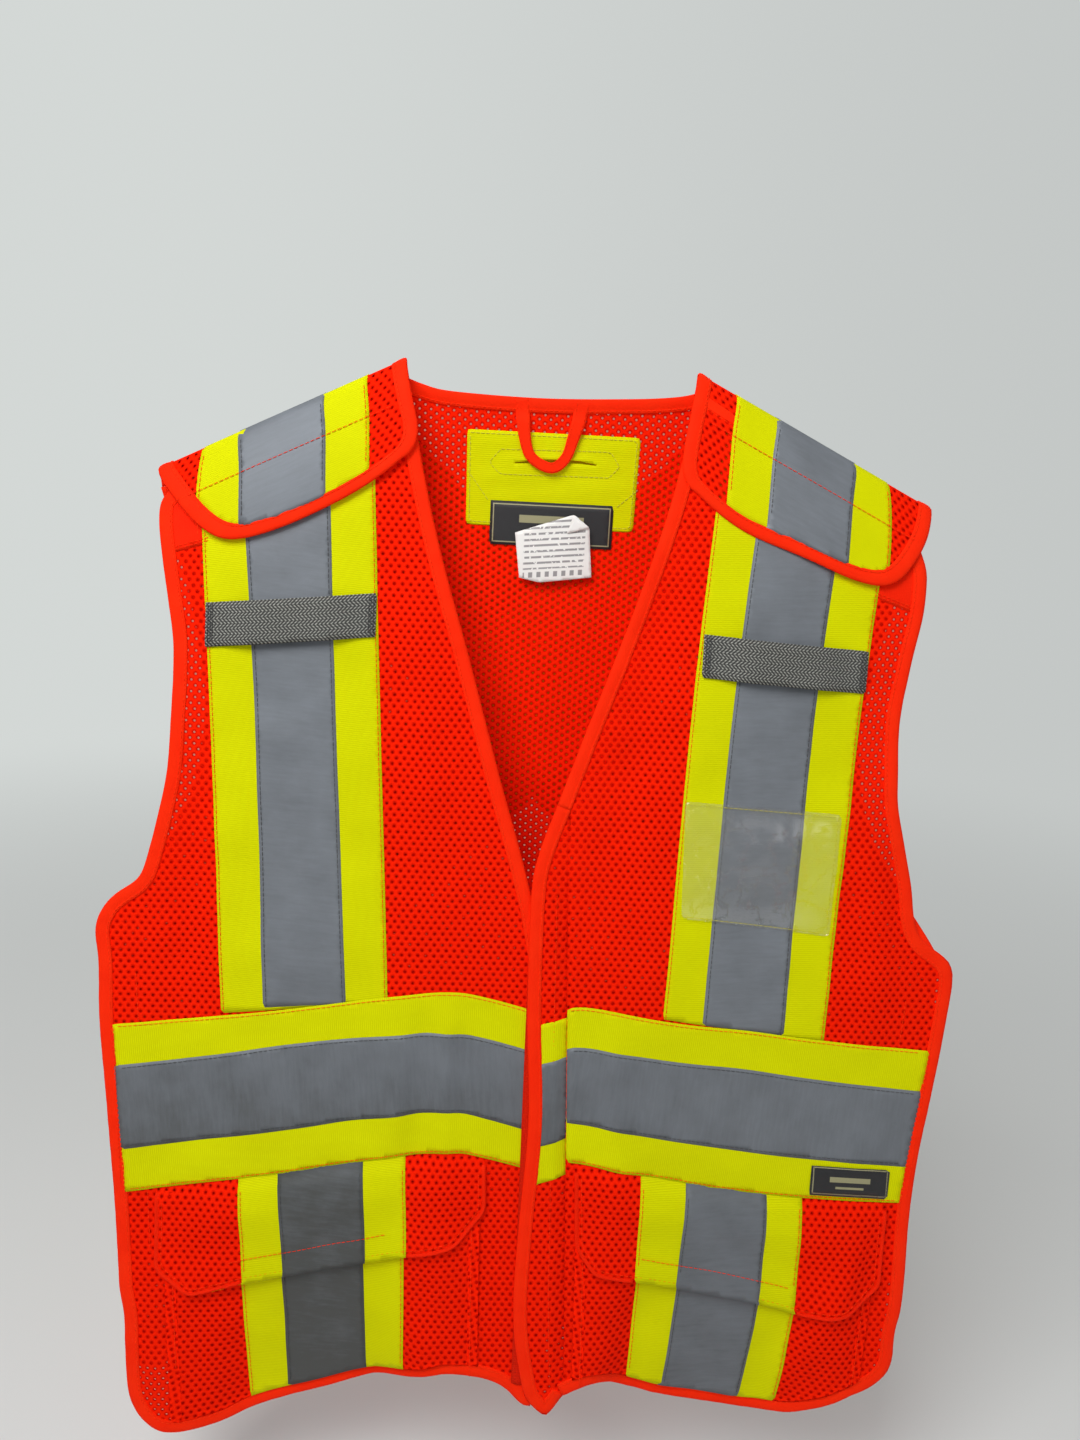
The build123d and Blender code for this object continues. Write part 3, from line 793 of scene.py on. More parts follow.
def woven_label(name, border, bars):
    """Black woven label with a thin border and generic bars, drawn from its own UVs in millimetres."""
    p = Paint(name)
    u, v, _ = p.split(p.uv)
    weave = p.value("MULTIPLY", p.wave(u, 0.7), p.wave(v, 0.55))
    ground = p.colours(weave, [(0.0, (0.006, 0.006, 0.007)), (1.0, (0.02, 0.02, 0.023))])
    half_u, half_v = border
    edge_u = p.near(p.value("ABSOLUTE", u), half_u, 0.25, 0.5)
    edge_v = p.near(p.value("ABSOLUTE", v), half_v, 0.25, 0.5)
    inside_u = p.near(u, 0, half_u + 0.2, half_u + 0.5)
    inside_v = p.near(v, 0, half_v + 0.2, half_v + 0.5)
    marks = p.value("MAXIMUM", p.value("MULTIPLY", edge_u, inside_v), p.value("MULTIPLY", edge_v, inside_u))
    for centre, height, half_length in bars:
        row = p.near(v, centre, height, height + 0.3)
        span = p.near(u, 0, half_length, half_length + 0.4)
        marks = p.value("MAXIMUM", marks, p.value("MULTIPLY", row, span))
    mix = p.tree.nodes.new("ShaderNodeMix")
    mix.data_type = "RGBA"
    p.wire(marks, mix.inputs[0])
    p.wire(ground, mix.inputs[6])
    mix.inputs[7].default_value = (0.32, 0.30, 0.16, 1)
    p.bump(p.total((weave, 1), (marks, 0.6)), 0.12, 0.7)
    p.set(Base_Color=mix.outputs[2], Roughness=0.5, Sheen_Weight=0.1)
    return p.material


def printed_label(name="care_label"):
    """White satin label with plain grey rules where a real one has its print."""
    p = Paint(name)
    u, v, _ = p.split(p.uv)
    row = p.ramp(p.wave(v, 3.6), 0.62, 0.78)
    ragged = p.ramp(p.noise(p.vector("MULTIPLY", p.uv, (0.5, 0.2778, 1)), 1.0, 1.0), 0.36, 0.44)
    printed = p.near(u, 0, 18.5, 19.5)
    above = p.ramp(v, 7.5, 8.0)
    ink = p.value("MULTIPLY", p.value("MULTIPLY", row, ragged), p.value("MULTIPLY", printed, above))
    marks = p.value("MULTIPLY", p.near(v, 4.4, 1.5, 1.8), p.ramp(p.wave(u, 5.2), 0.42, 0.6))
    ink = p.value("MAXIMUM", ink, p.value("MULTIPLY", marks, printed))
    base = p.colours(ink, [(0.0, (0.83, 0.82, 0.79)), (1.0, (0.30, 0.29, 0.29))])
    p.bump(p.noise(p.uv, 3.0, 2.0), 0.06, 0.5)
    p.set(Base_Color=base, Roughness=0.42)
    return p.material


M_MESH = mesh_cloth()
M_BINDING = plain_cloth("orange_binding", (0.97, 0.030, 0.003), (0.90, 0.018, 0.0015), 0.08, 0.8)
M_CLOTH = plain_cloth("orange_cloth", (0.94, 0.022, 0.002), (0.84, 0.013, 0.001), 0.06, 1.1)
M_YELLOW = ribbed_tape()
M_SILVER = silver_tape()
M_WEBBING = webbing()
M_HOOK = pile("hook_strip", True)
M_LOOP = pile("loop_strip", False)
M_VINYL = vinyl()
M_WAIST_LABEL = woven_label("waist_label", (24.0, 8.6), [(1.2, 1.6, 13.0), (-4.2, 0.6, 9.0)])
M_NECK_LABEL = woven_label("neck_label", (36.5, 11.6), [(3.0, 2.2, 20.0), (-4.0, 0.8, 14.0)])
M_CARE = printed_label()
M_THREAD = plain_cloth("orange_thread", (0.97, 0.05, 0.006), (0.85, 0.025, 0.003), 0.08, 0.6)
M_THREAD_GREY = plain_cloth("grey_thread", (0.13, 0.13, 0.13), (0.07, 0.07, 0.07), 0.0, 0.6)
M_THREAD_YELLOW = plain_cloth("yellow_thread", (0.66, 0.62, 0.06), (0.5, 0.45, 0.04), 0.05, 0.6)


class Tape:
    """What one layer of the two-tone tape is called, made of and sewn with."""

    def __init__(self, word, slot, node, thick, material, thread_colour, thread_material, thread_slot):
        self.word, self.slot, self.node = word, slot, node
        self.thick, self.material = thick, material
        self.thread, self.thread_material, self.thread_slot = thread_colour, thread_material, thread_slot


TAPES = {
    "tape": Tape("yellow", "yellow_tape", "tape", CLOTH, M_YELLOW, "orange", M_THREAD, "orange_binding"),
    "silver": Tape(
        "silver", "reflective_tape", "reflective", FOIL, M_SILVER, "grey", M_THREAD_GREY, "reflective_tape"
    ),
}


# ---- pieces --------------------------------------------------------------------------------------
def sew(piece, body, slot, *nodes):
    """Rides a piece on a body and hides the frame nodes that it stands for; its finish, slot, is not used."""
    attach(piece, body)
    if nodes:
        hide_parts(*nodes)
    return piece


THREADS = {}


def thread(body, colour="orange"):
    return THREADS.setdefault((body, colour), Thread())


# outlines of the two fronts from the neck point round the closure, hem, side and armhole
RIGHT_V = [(-86, -9), (-79, -48), (-64, -109), (-43, -176), (-21, -249), (-8, -289), (4, -330)]
RIGHT_CLOSURE = [(4, -330), (13, -380), (16, -450), (16, -560), (17, -620), (18, -657)]
RIGHT_HEM = [
    (18, -660), (11.8, -657.4), (5, -651), (0, -644.5), (-8, -641), (-16, -638.2), (-24, -637.4),
    (-43, -636.4), (-69, -644.5), (-116, -658.5), (-155, -670.5), (-181, -680.3), (-200, -682.5),
]
RIGHT_CORNER = [(-200, -682.5), (-213, -682.4), (-226, -678.8), (-234, -671.6), (-240, -662), (-243, -650)]
RIGHT_SIDE = [
    (-243, -650), (-244.6, -622), (-245.3, -600), (-248.4, -586), (-249.5, -568), (-252.3, -525),
    (-258, -460), (-262.8, -407), (-263.5, -371), (-265.5, -358),
]
RIGHT_ARMHOLE = [
    (-265.5, -358), (-265.9, -348), (-260.4, -336), (-252, -327.3), (-240, -319.7), (-235.7, -308.3),
    (-228.8, -280.3), (-223.3, -250), (-221.3, -208.7), (-220.9, -184.7), (-221.7, -168.6),
    (-229.2, -125.2), (-233, -99.7), (-232, -84),
]
V_END = (14.4, -262)  # where the left front's V ends and the closure strip's edge begins
LEFT_V = [(86, -9), (79, -51), (71, -87), (53, -148), (32, -209), (14, -264)]
LEFT_CLOSURE = [
    (14, -264), (5, -291), (1, -318), (2, -393), (6, -464), (3, -533), (1.8, -575), (2.8, -599),
    (4.8, -615), (8.3, -632), (12, -647), (19.6, -656.3), (26, -660.6),
]
LEFT_HEM = [
    (26, -660.6), (32, -654.5), (36.4, -647.6), (42.4, -643.3), (50, -639.7), (58, -639.8),
    (67.5, -643.2), (80.5, -650.3), (103, -657.2), (130, -662.3), (160, -666.5), (183, -666.4),
    (192.4, -663.5), (204, -657.3),
]
LEFT_CORNER = [(204, -657.3), (219.6, -648.3), (235, -640.3), (244.6, -632.6), (249.6, -625), (251.4, -616)]
LEFT_SIDE = [
    (251.4, -616), (251.2, -600), (254, -585), (254.8, -560), (254.5, -522), (257, -480),
    (262, -440), (265.4, -412.6), (267.8, -388), (269.6, -368.6),
]
LEFT_ARMHOLE = [
    (269.6, -368.6), (269.1, -358), (266.8, -352.8), (261, -347.6), (254.3, -343.4), (248, -338.8),
    (242.3, -328), (238.6, -306), (233.8, -286.5), (229.4, -269.7), (225.6, -253.4), (224.2, -232.3),
    (223.3, -211.3), (223.6, -194.7), (226.1, -176.9), (228.7, -160.6), (233.3, -136.9),
    (234.6, -117.7), (234, -109.1), (230.3, -98.3), (225, -86),
]

FRONT_EDGES = {
    "right": [RIGHT_V, RIGHT_CLOSURE, RIGHT_HEM, RIGHT_CORNER, RIGHT_SIDE, RIGHT_ARMHOLE],
    "left": [LEFT_V, LEFT_CLOSURE, LEFT_HEM, LEFT_CORNER, LEFT_SIDE, LEFT_ARMHOLE],
}
SURFACE = {"right": front, "left": left}

# waist band edges from the side seam to the closure, and how far down the silver lies
BAND = {
    "right": {
        "top": [(-272, -413), (-200, -405), (-136, -396), (-85, -387), (-47, -383), (-22, -386), (22, -397)],
        "silver_top": [
            (-272, -440), (-200, -430), (-144, -420), (-85, -412), (-46, -409), (-22, -412), (22, -423),
        ],
        "silver_bottom": [
            (-272, -495), (-200, -484), (-143, -474), (-85, -464), (-44, -460), (-20, -464), (22, -475),
        ],
        "bottom": [
            (-272, -523), (-200, -513), (-143, -503), (-85, -492), (-43, -487), (-20, -490), (22, -500),
        ],
    },
    "left": {
        "top": [(20, -390), (42, -388), (86, -395), (138, -400), (200, -406), (275, -411)],
        "silver_top": [(20, -415), (42, -414), (86, -420), (140, -425), (200, -432), (275, -438)],
        "silver_bottom": [(20, -462), (42, -464), (86, -471), (144, -479), (200, -484), (275, -488)],
        "bottom": [(20, -488), (42, -490), (86, -497), (146, -507), (200, -510), (275, -512)],
    },
}
# chest tapes: yellow and silver edges from under the shoulder flap down to the band
CHEST = {
    "right": {
        "tape": ([(-208, -80), (-199, -206), (-188, -402)], [(-106, -30), (-96, -206), (-85, -391)]),
        "silver": ([(-183, -70), (-172, -206), (-162, -397)], [(-132, -44), (-123, -206), (-111, -393)]),
    },
    "left": {
        "tape": ([(104, -32), (94, -193), (87, -394)], [(208, -84), (199, -193), (190, -407)]),
        "silver": ([(130, -44), (119, -193), (112, -397)], [(180, -70), (170, -193), (164, -403)]),
    },
}
POCKET = {
    "right": {
        "bag": ([(-221, -518), (-219, -600), (-213, -700)], [(-22, -500), (-21, -560), (-17, -700)]),
        "flap": [(-227, -512.5), (-226, -568), (-204, -585), (-36, -546), (-18, -524), (-20, -485.5)],
        "tape": ([(-178, -495), (-172, -585), (-165, -700)], [(-73, -480), (-69, -560), (-66, -700)]),
        "silver": ([(-153, -495), (-146, -585), (-141, -700)], [(-100, -480), (-95, -560), (-90, -700)]),
        "span": (-222, -19),
    },
    "left": {
        "bag": ([(37, -500), (40, -570), (43, -700)], [(236, -518), (232, -600), (226, -700)]),
        "flap": [(36, -485), (39, -543), (52, -560), (186, -586), (216, -583), (238, -566), (239, -508)],
        "tape": ([(81, -480), (80, -570), (77, -700)], [(186, -495), (184, -585), (175, -700)]),
        "silver": ([(111, -480), (107, -570), (99, -700)], [(163, -495), (161, -585), (150, -700)]),
        "span": (36, 238),
    },
}
HEM_LEVEL = {
    "right": np.array(sorted(RIGHT_HEM + RIGHT_CORNER[1:5])),
    "left": np.array(sorted(LEFT_HEM + LEFT_CORNER[1:4])),
}
POCKET_SWELL = 5.0
FLAP_REACH = 74.0  # how far below the band a pocket flap reaches


def front_outline(name):
    return loop(*FRONT_EDGES[name])


def front_inside(name, amount=SEWN_END):
    """Outline of a front within its binding, where sewn-on pieces end."""
    return inset(soften(even(front_outline(name), 3.0, True), 2), amount)


def within(outline, region):
    """The part of a region that lies in an outline: points outside go to the nearest place on it."""
    region = even(np.asarray(region, float), 2.5, closed=True)
    snapped = nearest_on(region, outline)[1]
    kept = np.where(inside_ring(region, outline)[:, None], region, snapped)
    gaps = np.hypot(*(kept - np.roll(kept, 1, 0)).T)
    return kept[gaps > 0.3]


def above_hem(name, region, over=BINDING - 0.3):
    """Lifts the lower edge of a region to the top of the hem's binding."""
    region = even(np.asarray(region, float), 2.5, closed=True)
    hem = HEM_LEVEL[name]
    region[:, 1] = np.maximum(region[:, 1], np.interp(region[:, 0], hem[:, 0], hem[:, 1]) + over)
    return region


def band_outline(name, top, bottom):
    side = BAND[name]
    region = side_by_side(side[top], side[bottom])
    if name == "left":
        region = beside_fold(region)
    return within(front_inside(name), region)


def beside_fold(region, over=0.2):
    """Cuts a region off at the closure fold, keeping the left front's part."""
    kept = region.copy()
    kept[:, 0] = np.maximum(kept[:, 0], fold_x(kept[:, 1]) + over)
    return kept


def make_front_panel(name):
    surface, body = SURFACE[name], f"{name}_front"
    fold_end = (fold_x(FOLD_END), FOLD_END)
    if name == "left":
        lower_edges = [[fold_end] + LEFT_HEM[3:], LEFT_CORNER, LEFT_SIDE, LEFT_ARMHOLE]
        lower_edges.append([LEFT_ARMHOLE[-1], LEFT_V[0]])
        fold_top = (fold_x(V_END[1]), V_END[1])
        upper = loop(LEFT_V[:-1] + [V_END], [V_END, fold_top])
        sheet_line = np.vstack([upper, curve([fold_top, fold_end])[:-1], loop(*lower_edges)])
    else:
        outline = soften(even(front_outline(name), 3.0, True), 2)
        sheet_line = inset(outline, 0.8)
    panel = slab(f"{name}_front_mesh", sheet_line, on(surface), -MESH, MESH, M_MESH, step=4.2)
    sew(panel, body, "orange_mesh", f"{name}_front_panel")
    if name == "left":
        path = np.vstack([curve(e)[:-1] for e in lower_edges] + [curve(LEFT_V[:-1] + [V_END])])
        path = open_soften(even(path, EDGE_STEP), 5)
        edge = binding(f"{name}_front_edge", path, on(surface), M_BINDING, seed=11)
        sewn = path + inward(path, closed=False) * SEAM_IN
        thread(body).run(sewn, on(surface), 0.95)
    else:
        path = soften(even(outline, EDGE_STEP, True), 4)
        edge = binding(f"{name}_front_edge", path, on(surface), M_BINDING, closed=True, seed=12)
        thread(body).run(path + inward(path) * SEAM_IN, on(surface), 0.95, closed=True)
    sew(edge, body, "orange_binding", f"{name}_front_binding")
    facing_line = {
        "right": [(-42, -520), (14, -520), (14, -652), (2, -642), (-20, -634), (-42, -633)],
        "left": [(fold_x(-520) + 1, -520), (50, -520), (50, -640), (41, -642), (fold_x(-640) + 1, -643)],
    }[name]
    region = within(front_inside(name, 3.0), polygon(facing_line))
    facing = slab(f"{name}_closure_facing", region, on(surface), -MESH - 0.7, 0.5, M_MESH, turn=0.7)
    sew(facing, body, "orange_mesh")


def lean_of(edge):
    (x0, z0), (x1, z1) = edge[0], edge[-1]
    return math.atan2(x1 - x0, z0 - z1)


def make_chest(name):
    surface, body = SURFACE[name], f"{name}_front"
    edges = CHEST[name]
    lean = lean_of(edges["tape"][0])
    for kind, level, edge in (("tape", 0.05, 0.12), ("silver", 0.55, 0.08)):
        t = TAPES[kind]
        region = side_by_side(*edges[kind])
        word = f"{name}_chest_{t.word}"
        piece = slab(word, region, on(surface), level, t.thick, t.material, turn=lean, edge=edge)
        sew(piece, body, t.slot, f"{name}_chest_{t.node}")
    for kind, inset_by, level in (("tape", 1.6, 0.55), ("silver", 1.9, 0.86)):
        for edge, inwards in zip(edges[kind], (inset_by, -inset_by)):
            line = curve(edge) + (inwards, 0)
            thread(body, TAPES[kind].thread).run(line, on(surface), level, radius=0.2)
    make_shoulder_pieces(name)


def make_shoulder_pieces(name):
    """Loop strip under the shoulder flap, and the solid cloth patch beside the armhole."""
    side, surface, body = SIDES[name], SURFACE[name], f"{name}_front"
    strip = [(side * x, ridge(x) - d) for x, d in ((112, 21), (205, 21), (203, 52), (110, 52))]
    loops = slab(f"{name}_shoulder_loops", polygon(strip), on(surface), 0.9, 0.5, M_LOOP)
    sew(loops, body, "hook_and_loop", f"{name}_shoulder_loop_strip")
    patch_line = {
        "right": [(-205, -74), (-231, -90), (-229.5, -112), (-225.5, -122), (-202, -114.5)],
        "left": [(206, -74), (224, -88), (231, -110), (227.5, -136), (203.5, -128)],
    }[name]
    patch = slab(f"{name}_armhole_patch", polygon(patch_line), on(surface), 0.02, 0.3, M_CLOTH)
    sew(patch, body, "orange_cloth")
    for rise in (1.6, 3.4):
        line = curve([patch_line[4], patch_line[3]]) + (0, rise)
        thread(body).run(line, on(surface), 0.4, radius=0.24)


def make_waist(name):
    surface, body = SURFACE[name], f"{name}_front"
    band = BAND[name]
    lean = math.atan(0.094) * SIDES[name] + math.pi / 2
    for kind, top, bottom, level, edge in (
        ("tape", "top", "bottom", 0.6, 0.12),
        ("silver", "silver_top", "silver_bottom", 1.1, 0.08),
    ):
        t = TAPES[kind]
        region = band_outline(name, top, bottom)
        word = f"{name}_waist_{t.word}"
        piece = slab(word, region, on(surface), level, t.thick, t.material, turn=lean, edge=edge)
        sew(piece, body, t.slot, f"{name}_waist_{t.node}")
    closure_limit = front_inside(name)[:, 0].max() - 8
    side_limit = front_inside(name, BINDING + 1)
    for key, down, colour, height in (
        ("top", -1.6, "orange", 1.1),
        ("bottom", 1.6, "orange", 1.1),
        ("silver_top", -1.9, "grey", 1.41),
        ("silver_bottom", 1.9, "grey", 1.41),
    ):
        line = even(curve(band[key]) + (0, down), 3.0)
        outer = np.abs(keep_inside(line, side_limit)[:, 0]).max()
        line = line[(np.abs(line[:, 0]) <= outer) & (line[:, 0] < closure_limit)]
        if name == "left":
            line = line[line[:, 0] > fold_x(line[:, 1]) + 1.5]
        thread(body, colour).run(line, on(surface), height, radius=0.2)
    ends = {"right": [(-253.5, -413), (-248, -516)], "left": [(258, -413), (251, -508)]}
    thread(body).run(curve(ends[name]), on(surface), 1.41, radius=0.2)


def make_side_strips(name):
    side, surface = SIDES[name], SURFACE[name]

    def edge_x(z):
        return 268 - 0.0616 * (-356 - z)  # the side edge leans in towards the hem

    corners = [(edge_x(z) - back, z) for z, back in ((-378, 28), (-378, 6), (-562, 6), (-562, 28))]
    ring = polygon([(side * x, z) for x, z in corners])
    hooks = slab(f"{name}_side_hooks", ring, on(surface), -MESH - 0.85, 0.8, M_HOOK)
    sew(hooks, f"{name}_front", "hook_and_loop", f"{name}_side_hook_strip")
    loops = slab(f"{name}_side_loops", ring, on(surface), -3.6, 0.9, M_LOOP)
    sew(loops, "root", "hook_and_loop", f"{name}_side_loop_strip")
    inner = [(side * (x + 2.0), z) for x, z in (corners[0], corners[3])]
    thread(f"{name}_front").run(curve(inner), on(surface), 0.1, radius=0.2)


def band_bottom(name, x):
    return np.interp(x, *np.array(sorted(BAND[name]["bottom"])).T)


def below_band(name, x, z):
    return band_bottom(name, x) - z


def swell(name, x, z):
    """How far a pocket stands out, most in its middle."""
    low, high = POCKET[name]["span"]
    across = smooth((x - low) / 42) * smooth((high - x) / 42)
    return POCKET_SWELL * across * smooth(below_band(name, x, z) / 26) * smooth((z + 668) / 52)


def pocket_surface(name):
    surface = SURFACE[name]
    return lambda x, z: surface(x, z) - swell(name, x, z)


def flap_place(name):
    """place() for a pocket flap: its root goes in under the band, the rest lies over the pocket."""
    surface = pocket_surface(name)

    def place(x, z, w):
        down = below_band(name, x, z)
        over = 2.5 * smooth(down / 9) + 3.2 * smooth((down - 40) / 32) - 1.2 * smooth((6 - down) / 8)
        return np.column_stack([x, surface(x, z) - over - w, z])

    return place


def make_pocket(name):
    body, parts = f"{name}_front", POCKET[name]
    surface = pocket_surface(name)
    inside = front_inside(name, BINDING - 0.8)
    bag_line = within(inside, above_hem(name, side_by_side(*parts["bag"])))
    bag = slab(f"{name}_pocket_bag", bag_line, on(surface), 0.9, MESH, M_MESH, edge=0.5, step=4.5)
    sew(bag, body, "orange_mesh", f"{name}_pocket")
    for kind, level in (("tape", 1.6), ("silver", 2.1)):
        t = TAPES[kind]
        region = within(inset(bag_line, 0.6), above_hem(name, side_by_side(*parts[kind]), BINDING))
        turn = lean_of(parts[kind][0])
        word = f"{name}_pocket_{t.word}"
        piece = slab(word, region, on(surface), level, t.thick, t.material, turn=turn, edge=0.1)
        sew(piece, body, t.slot, f"{name}_pocket_{t.node}")
        for edge, inwards in zip(parts[kind], (1.7, -1.7)):
            line = curve(edge) + (inwards, 0)
            hem = np.interp(line[:, 0], *HEM_LEVEL[name].T)
            shown = (line[:, 1] > hem + BINDING + 1.5) & (below_band(name, *line.T) > 12)
            thread(body, t.thread).run(line[shown], on(surface), level + t.thick + 0.05, radius=0.2)
    for number, (edge, inwards) in enumerate(zip(parts["bag"], (1, -1))):
        rail = curve(edge)
        region = np.vstack([rail, (rail + (7.0 * inwards, 0))[::-1]])
        region = within(inset(bag_line, 0.3), above_hem(name, region))
        word = f"{name}_pocket_hem_{number}"
        hem = slab(word, region, on(surface), 1.5, 0.5, M_MESH, turn=0.4, edge=0.3, step=3.0)
        sew(hem, body, "orange_mesh")
        line = rail + (5.2 * inwards, 0)
        line = line[(line[:, 1] > -640) & (line[:, 1] < -520)]
        thread(body).run(line, on(surface), 2.05, radius=0.22)


def dress(pieces, obj, slot, *nodes):
    """Adds a piece to a list and hides the nodes that it stands for; its finish, slot, is not used."""
    if nodes:
        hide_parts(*nodes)
    pieces.append(obj)
    return obj


def make_pocket_flap(name):
    body, flap = f"{name}_front", f"{name}_pocket_flap"
    parts, side = POCKET[name], SIDES[name]
    corners = parts["flap"]
    place = flap_place(name)
    rolled = np.vstack([curve(s)[:-1] for s in zip(corners, corners[1:])])
    across = np.linspace(corners[-1][0], corners[0][0], 30)
    root = np.column_stack([across, band_bottom(name, across) + 5])
    line = soften(even(np.vstack([rolled, root]), 2.5, True), 3)
    pieces = []
    mesh = slab(f"{flap}_mesh", line, place, 0.0, 0.9, M_MESH, edge=0.35, step=3.4)
    dress(pieces, mesh, "orange_mesh", flap)
    rolled = open_soften(even(rolled, 2.5), 3)
    rolled = rolled[below_band(name, *rolled.T) > 3]
    tape_low, tape_high = sorted(e[1][0] - 2.0 * side for e in parts["tape"])
    for number, part in enumerate((rolled[rolled[:, 0] < tape_low], rolled[rolled[:, 0] > tape_high])):
        rim = binding(f"{flap}_rim_{number}", part, place, M_CLOTH, narrow=0.3, lift=0.1, seed=23)
        dress(pieces, rim, "orange_mesh")
    for kind, level in (("tape", 0.95), ("silver", 1.55)):
        t = TAPES[kind]
        edges = [[(x - 2.0 * side, z) for x, z in e] for e in parts[kind]]
        region = within(inset(line, 0.4), side_by_side(*edges))
        turn = lean_of(parts[kind][0])
        piece = slab(f"{flap}_{t.word}", region, place, level, t.thick, t.material, turn=turn, edge=0.1)
        dress(pieces, piece, t.slot, f"{flap}_{t.node}")
        seams = Thread()
        for edge, inwards in zip(edges, (1.7, -1.7)):
            stitched = curve(edge) + (inwards, 0)
            down = below_band(name, *stitched.T)
            stitched = stitched[(down > 5) & (down < FLAP_REACH - 12)]
            seams.run(stitched, place, level + t.thick + 0.04, radius=0.2)
        dress(pieces, seams.made(f"{flap}_{t.word}_thread", t.thread_material), t.thread_slot)
    hem = Thread()
    hem_line = inset(line, 4.5)
    hem.run(hem_line[below_band(name, *hem_line.T) > 7], place, 1.0, radius=0.2)
    cross = Thread()
    low, high = parts["span"]
    across = np.linspace(low + 8, high - 8, 60)
    seam_z = np.interp(across, *np.array(sorted(corners[1:-1])).T) + 17
    on_tape = (np.abs(across) > 80) & (np.abs(across) < 182)
    cross.run(np.column_stack([across, seam_z])[on_tape], place, 1.75, radius=0.2)
    for word, seams in (("hem", hem), ("cross", cross)):
        dress(pieces, seams.made(f"{flap}_{word}_thread", M_THREAD), "orange_binding")
    x0 = side * 130.0
    z0 = float(band_bottom(name, x0))
    y0 = float(SURFACE[name](np.array([x0]), np.array([z0]))[0])
    for piece in pieces:
        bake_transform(piece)


MIC = {
    "right": [(-202, -149.5), (-100, -139), (-100, -165), (-202, -176)],
    "left": [(98, -154), (200, -160), (200, -186), (98, -180)],
}
MIC_RISE = 4.0


def make_mic_loop(name):
    body, surface = f"{name}_front", SURFACE[name]
    corners = np.array(MIC[name], float)
    low, high = corners[:, 0].min(), corners[:, 0].max()
    middle = corners.mean(0)
    slope = (corners[1, 1] - corners[0, 1]) / (corners[1, 0] - corners[0, 0])

    def place(x, z, w):
        share = smooth((x - low - 7) / 26) * smooth((high - 7 - x) / 26)
        return np.column_stack([x, surface(x, z) - 0.9 - MIC_RISE * share - w, z])

    ring = polygon(corners, 2.0)
    strap = slab(
        f"{name}_mic_webbing", ring, place, 0.0, 1.3, M_WEBBING, edge=0.35, step=3.0,
        uv_of=lambda x, z: (x - middle[0], z - middle[1] - slope * (x - middle[0])),
    )
    sew(strap, body, "grey_webbing", f"{name}_mic_loop")
    for x_end, inwards in ((low, 1), (high, -1)):
        for step in (1.6, 3.0, 4.4):
            x = x_end + inwards * step
            z = middle[1] + slope * (x - middle[0])
            line = curve([(x, z + 12), (x, z - 12)])
            thread(body, "grey").run(line, place, 1.42, length=1.5, gap=0.25, radius=0.32)


def make_card_pocket():
    corners = np.array([(92.5, -256), (191, -261), (189, -339), (94, -329)], float)

    def place(x, z, w):
        u, v = (x - 92) / 98, (z + 297) / 38
        share = smooth((1 - u) * 2.4) * smooth((1 - np.abs(v)) * 2.5)
        crinkle = 0.35 * ripples(x, z, 41, 14, 36) * smooth((1 - np.abs(v)) * 4) * smooth((1 - u) * 4)
        return np.column_stack([x, left(x, z) - 0.95 - 2.2 * share - np.abs(crinkle) - w, z])

    ring = polygon(corners, 2.0)
    ring = soften(even(ring, 2.0, True), 2)
    window = slab("card_pocket_vinyl", ring, place, 0.0, 0.3, M_VINYL, step=2.6, uv_of=lambda x, z: (x, z))
    sew(window, "left_front", "clear_vinyl", "id_pocket")
    middle = corners.mean(0)
    for start, end in zip(corners, corners[1:]):
        line = curve((start + (middle - start) * 0.045, end + (middle - end) * 0.045))
        thread("left_front", "yellow").run(line, place, 0.36, radius=0.2)


def make_waist_label():
    centre = (213.5, -497.5)
    ring = polygon([(188, -487), (239, -489), (238.5, -508.5), (187.5, -506.5)])
    label = slab(
        "waist_label_cloth", ring, on(left), 1.42, 0.55, M_WAIST_LABEL, edge=0.2,
        uv_of=lambda x, z: (x - centre[0], z - centre[1] + 0.04 * (x - centre[0])),
    )
    sew(label, "left_front", "woven_label", "waist_label")
    thread("left_front", "grey").run(inset(ring, 1.1), on(left), 2.0, radius=0.15, length=1.6, closed=True)


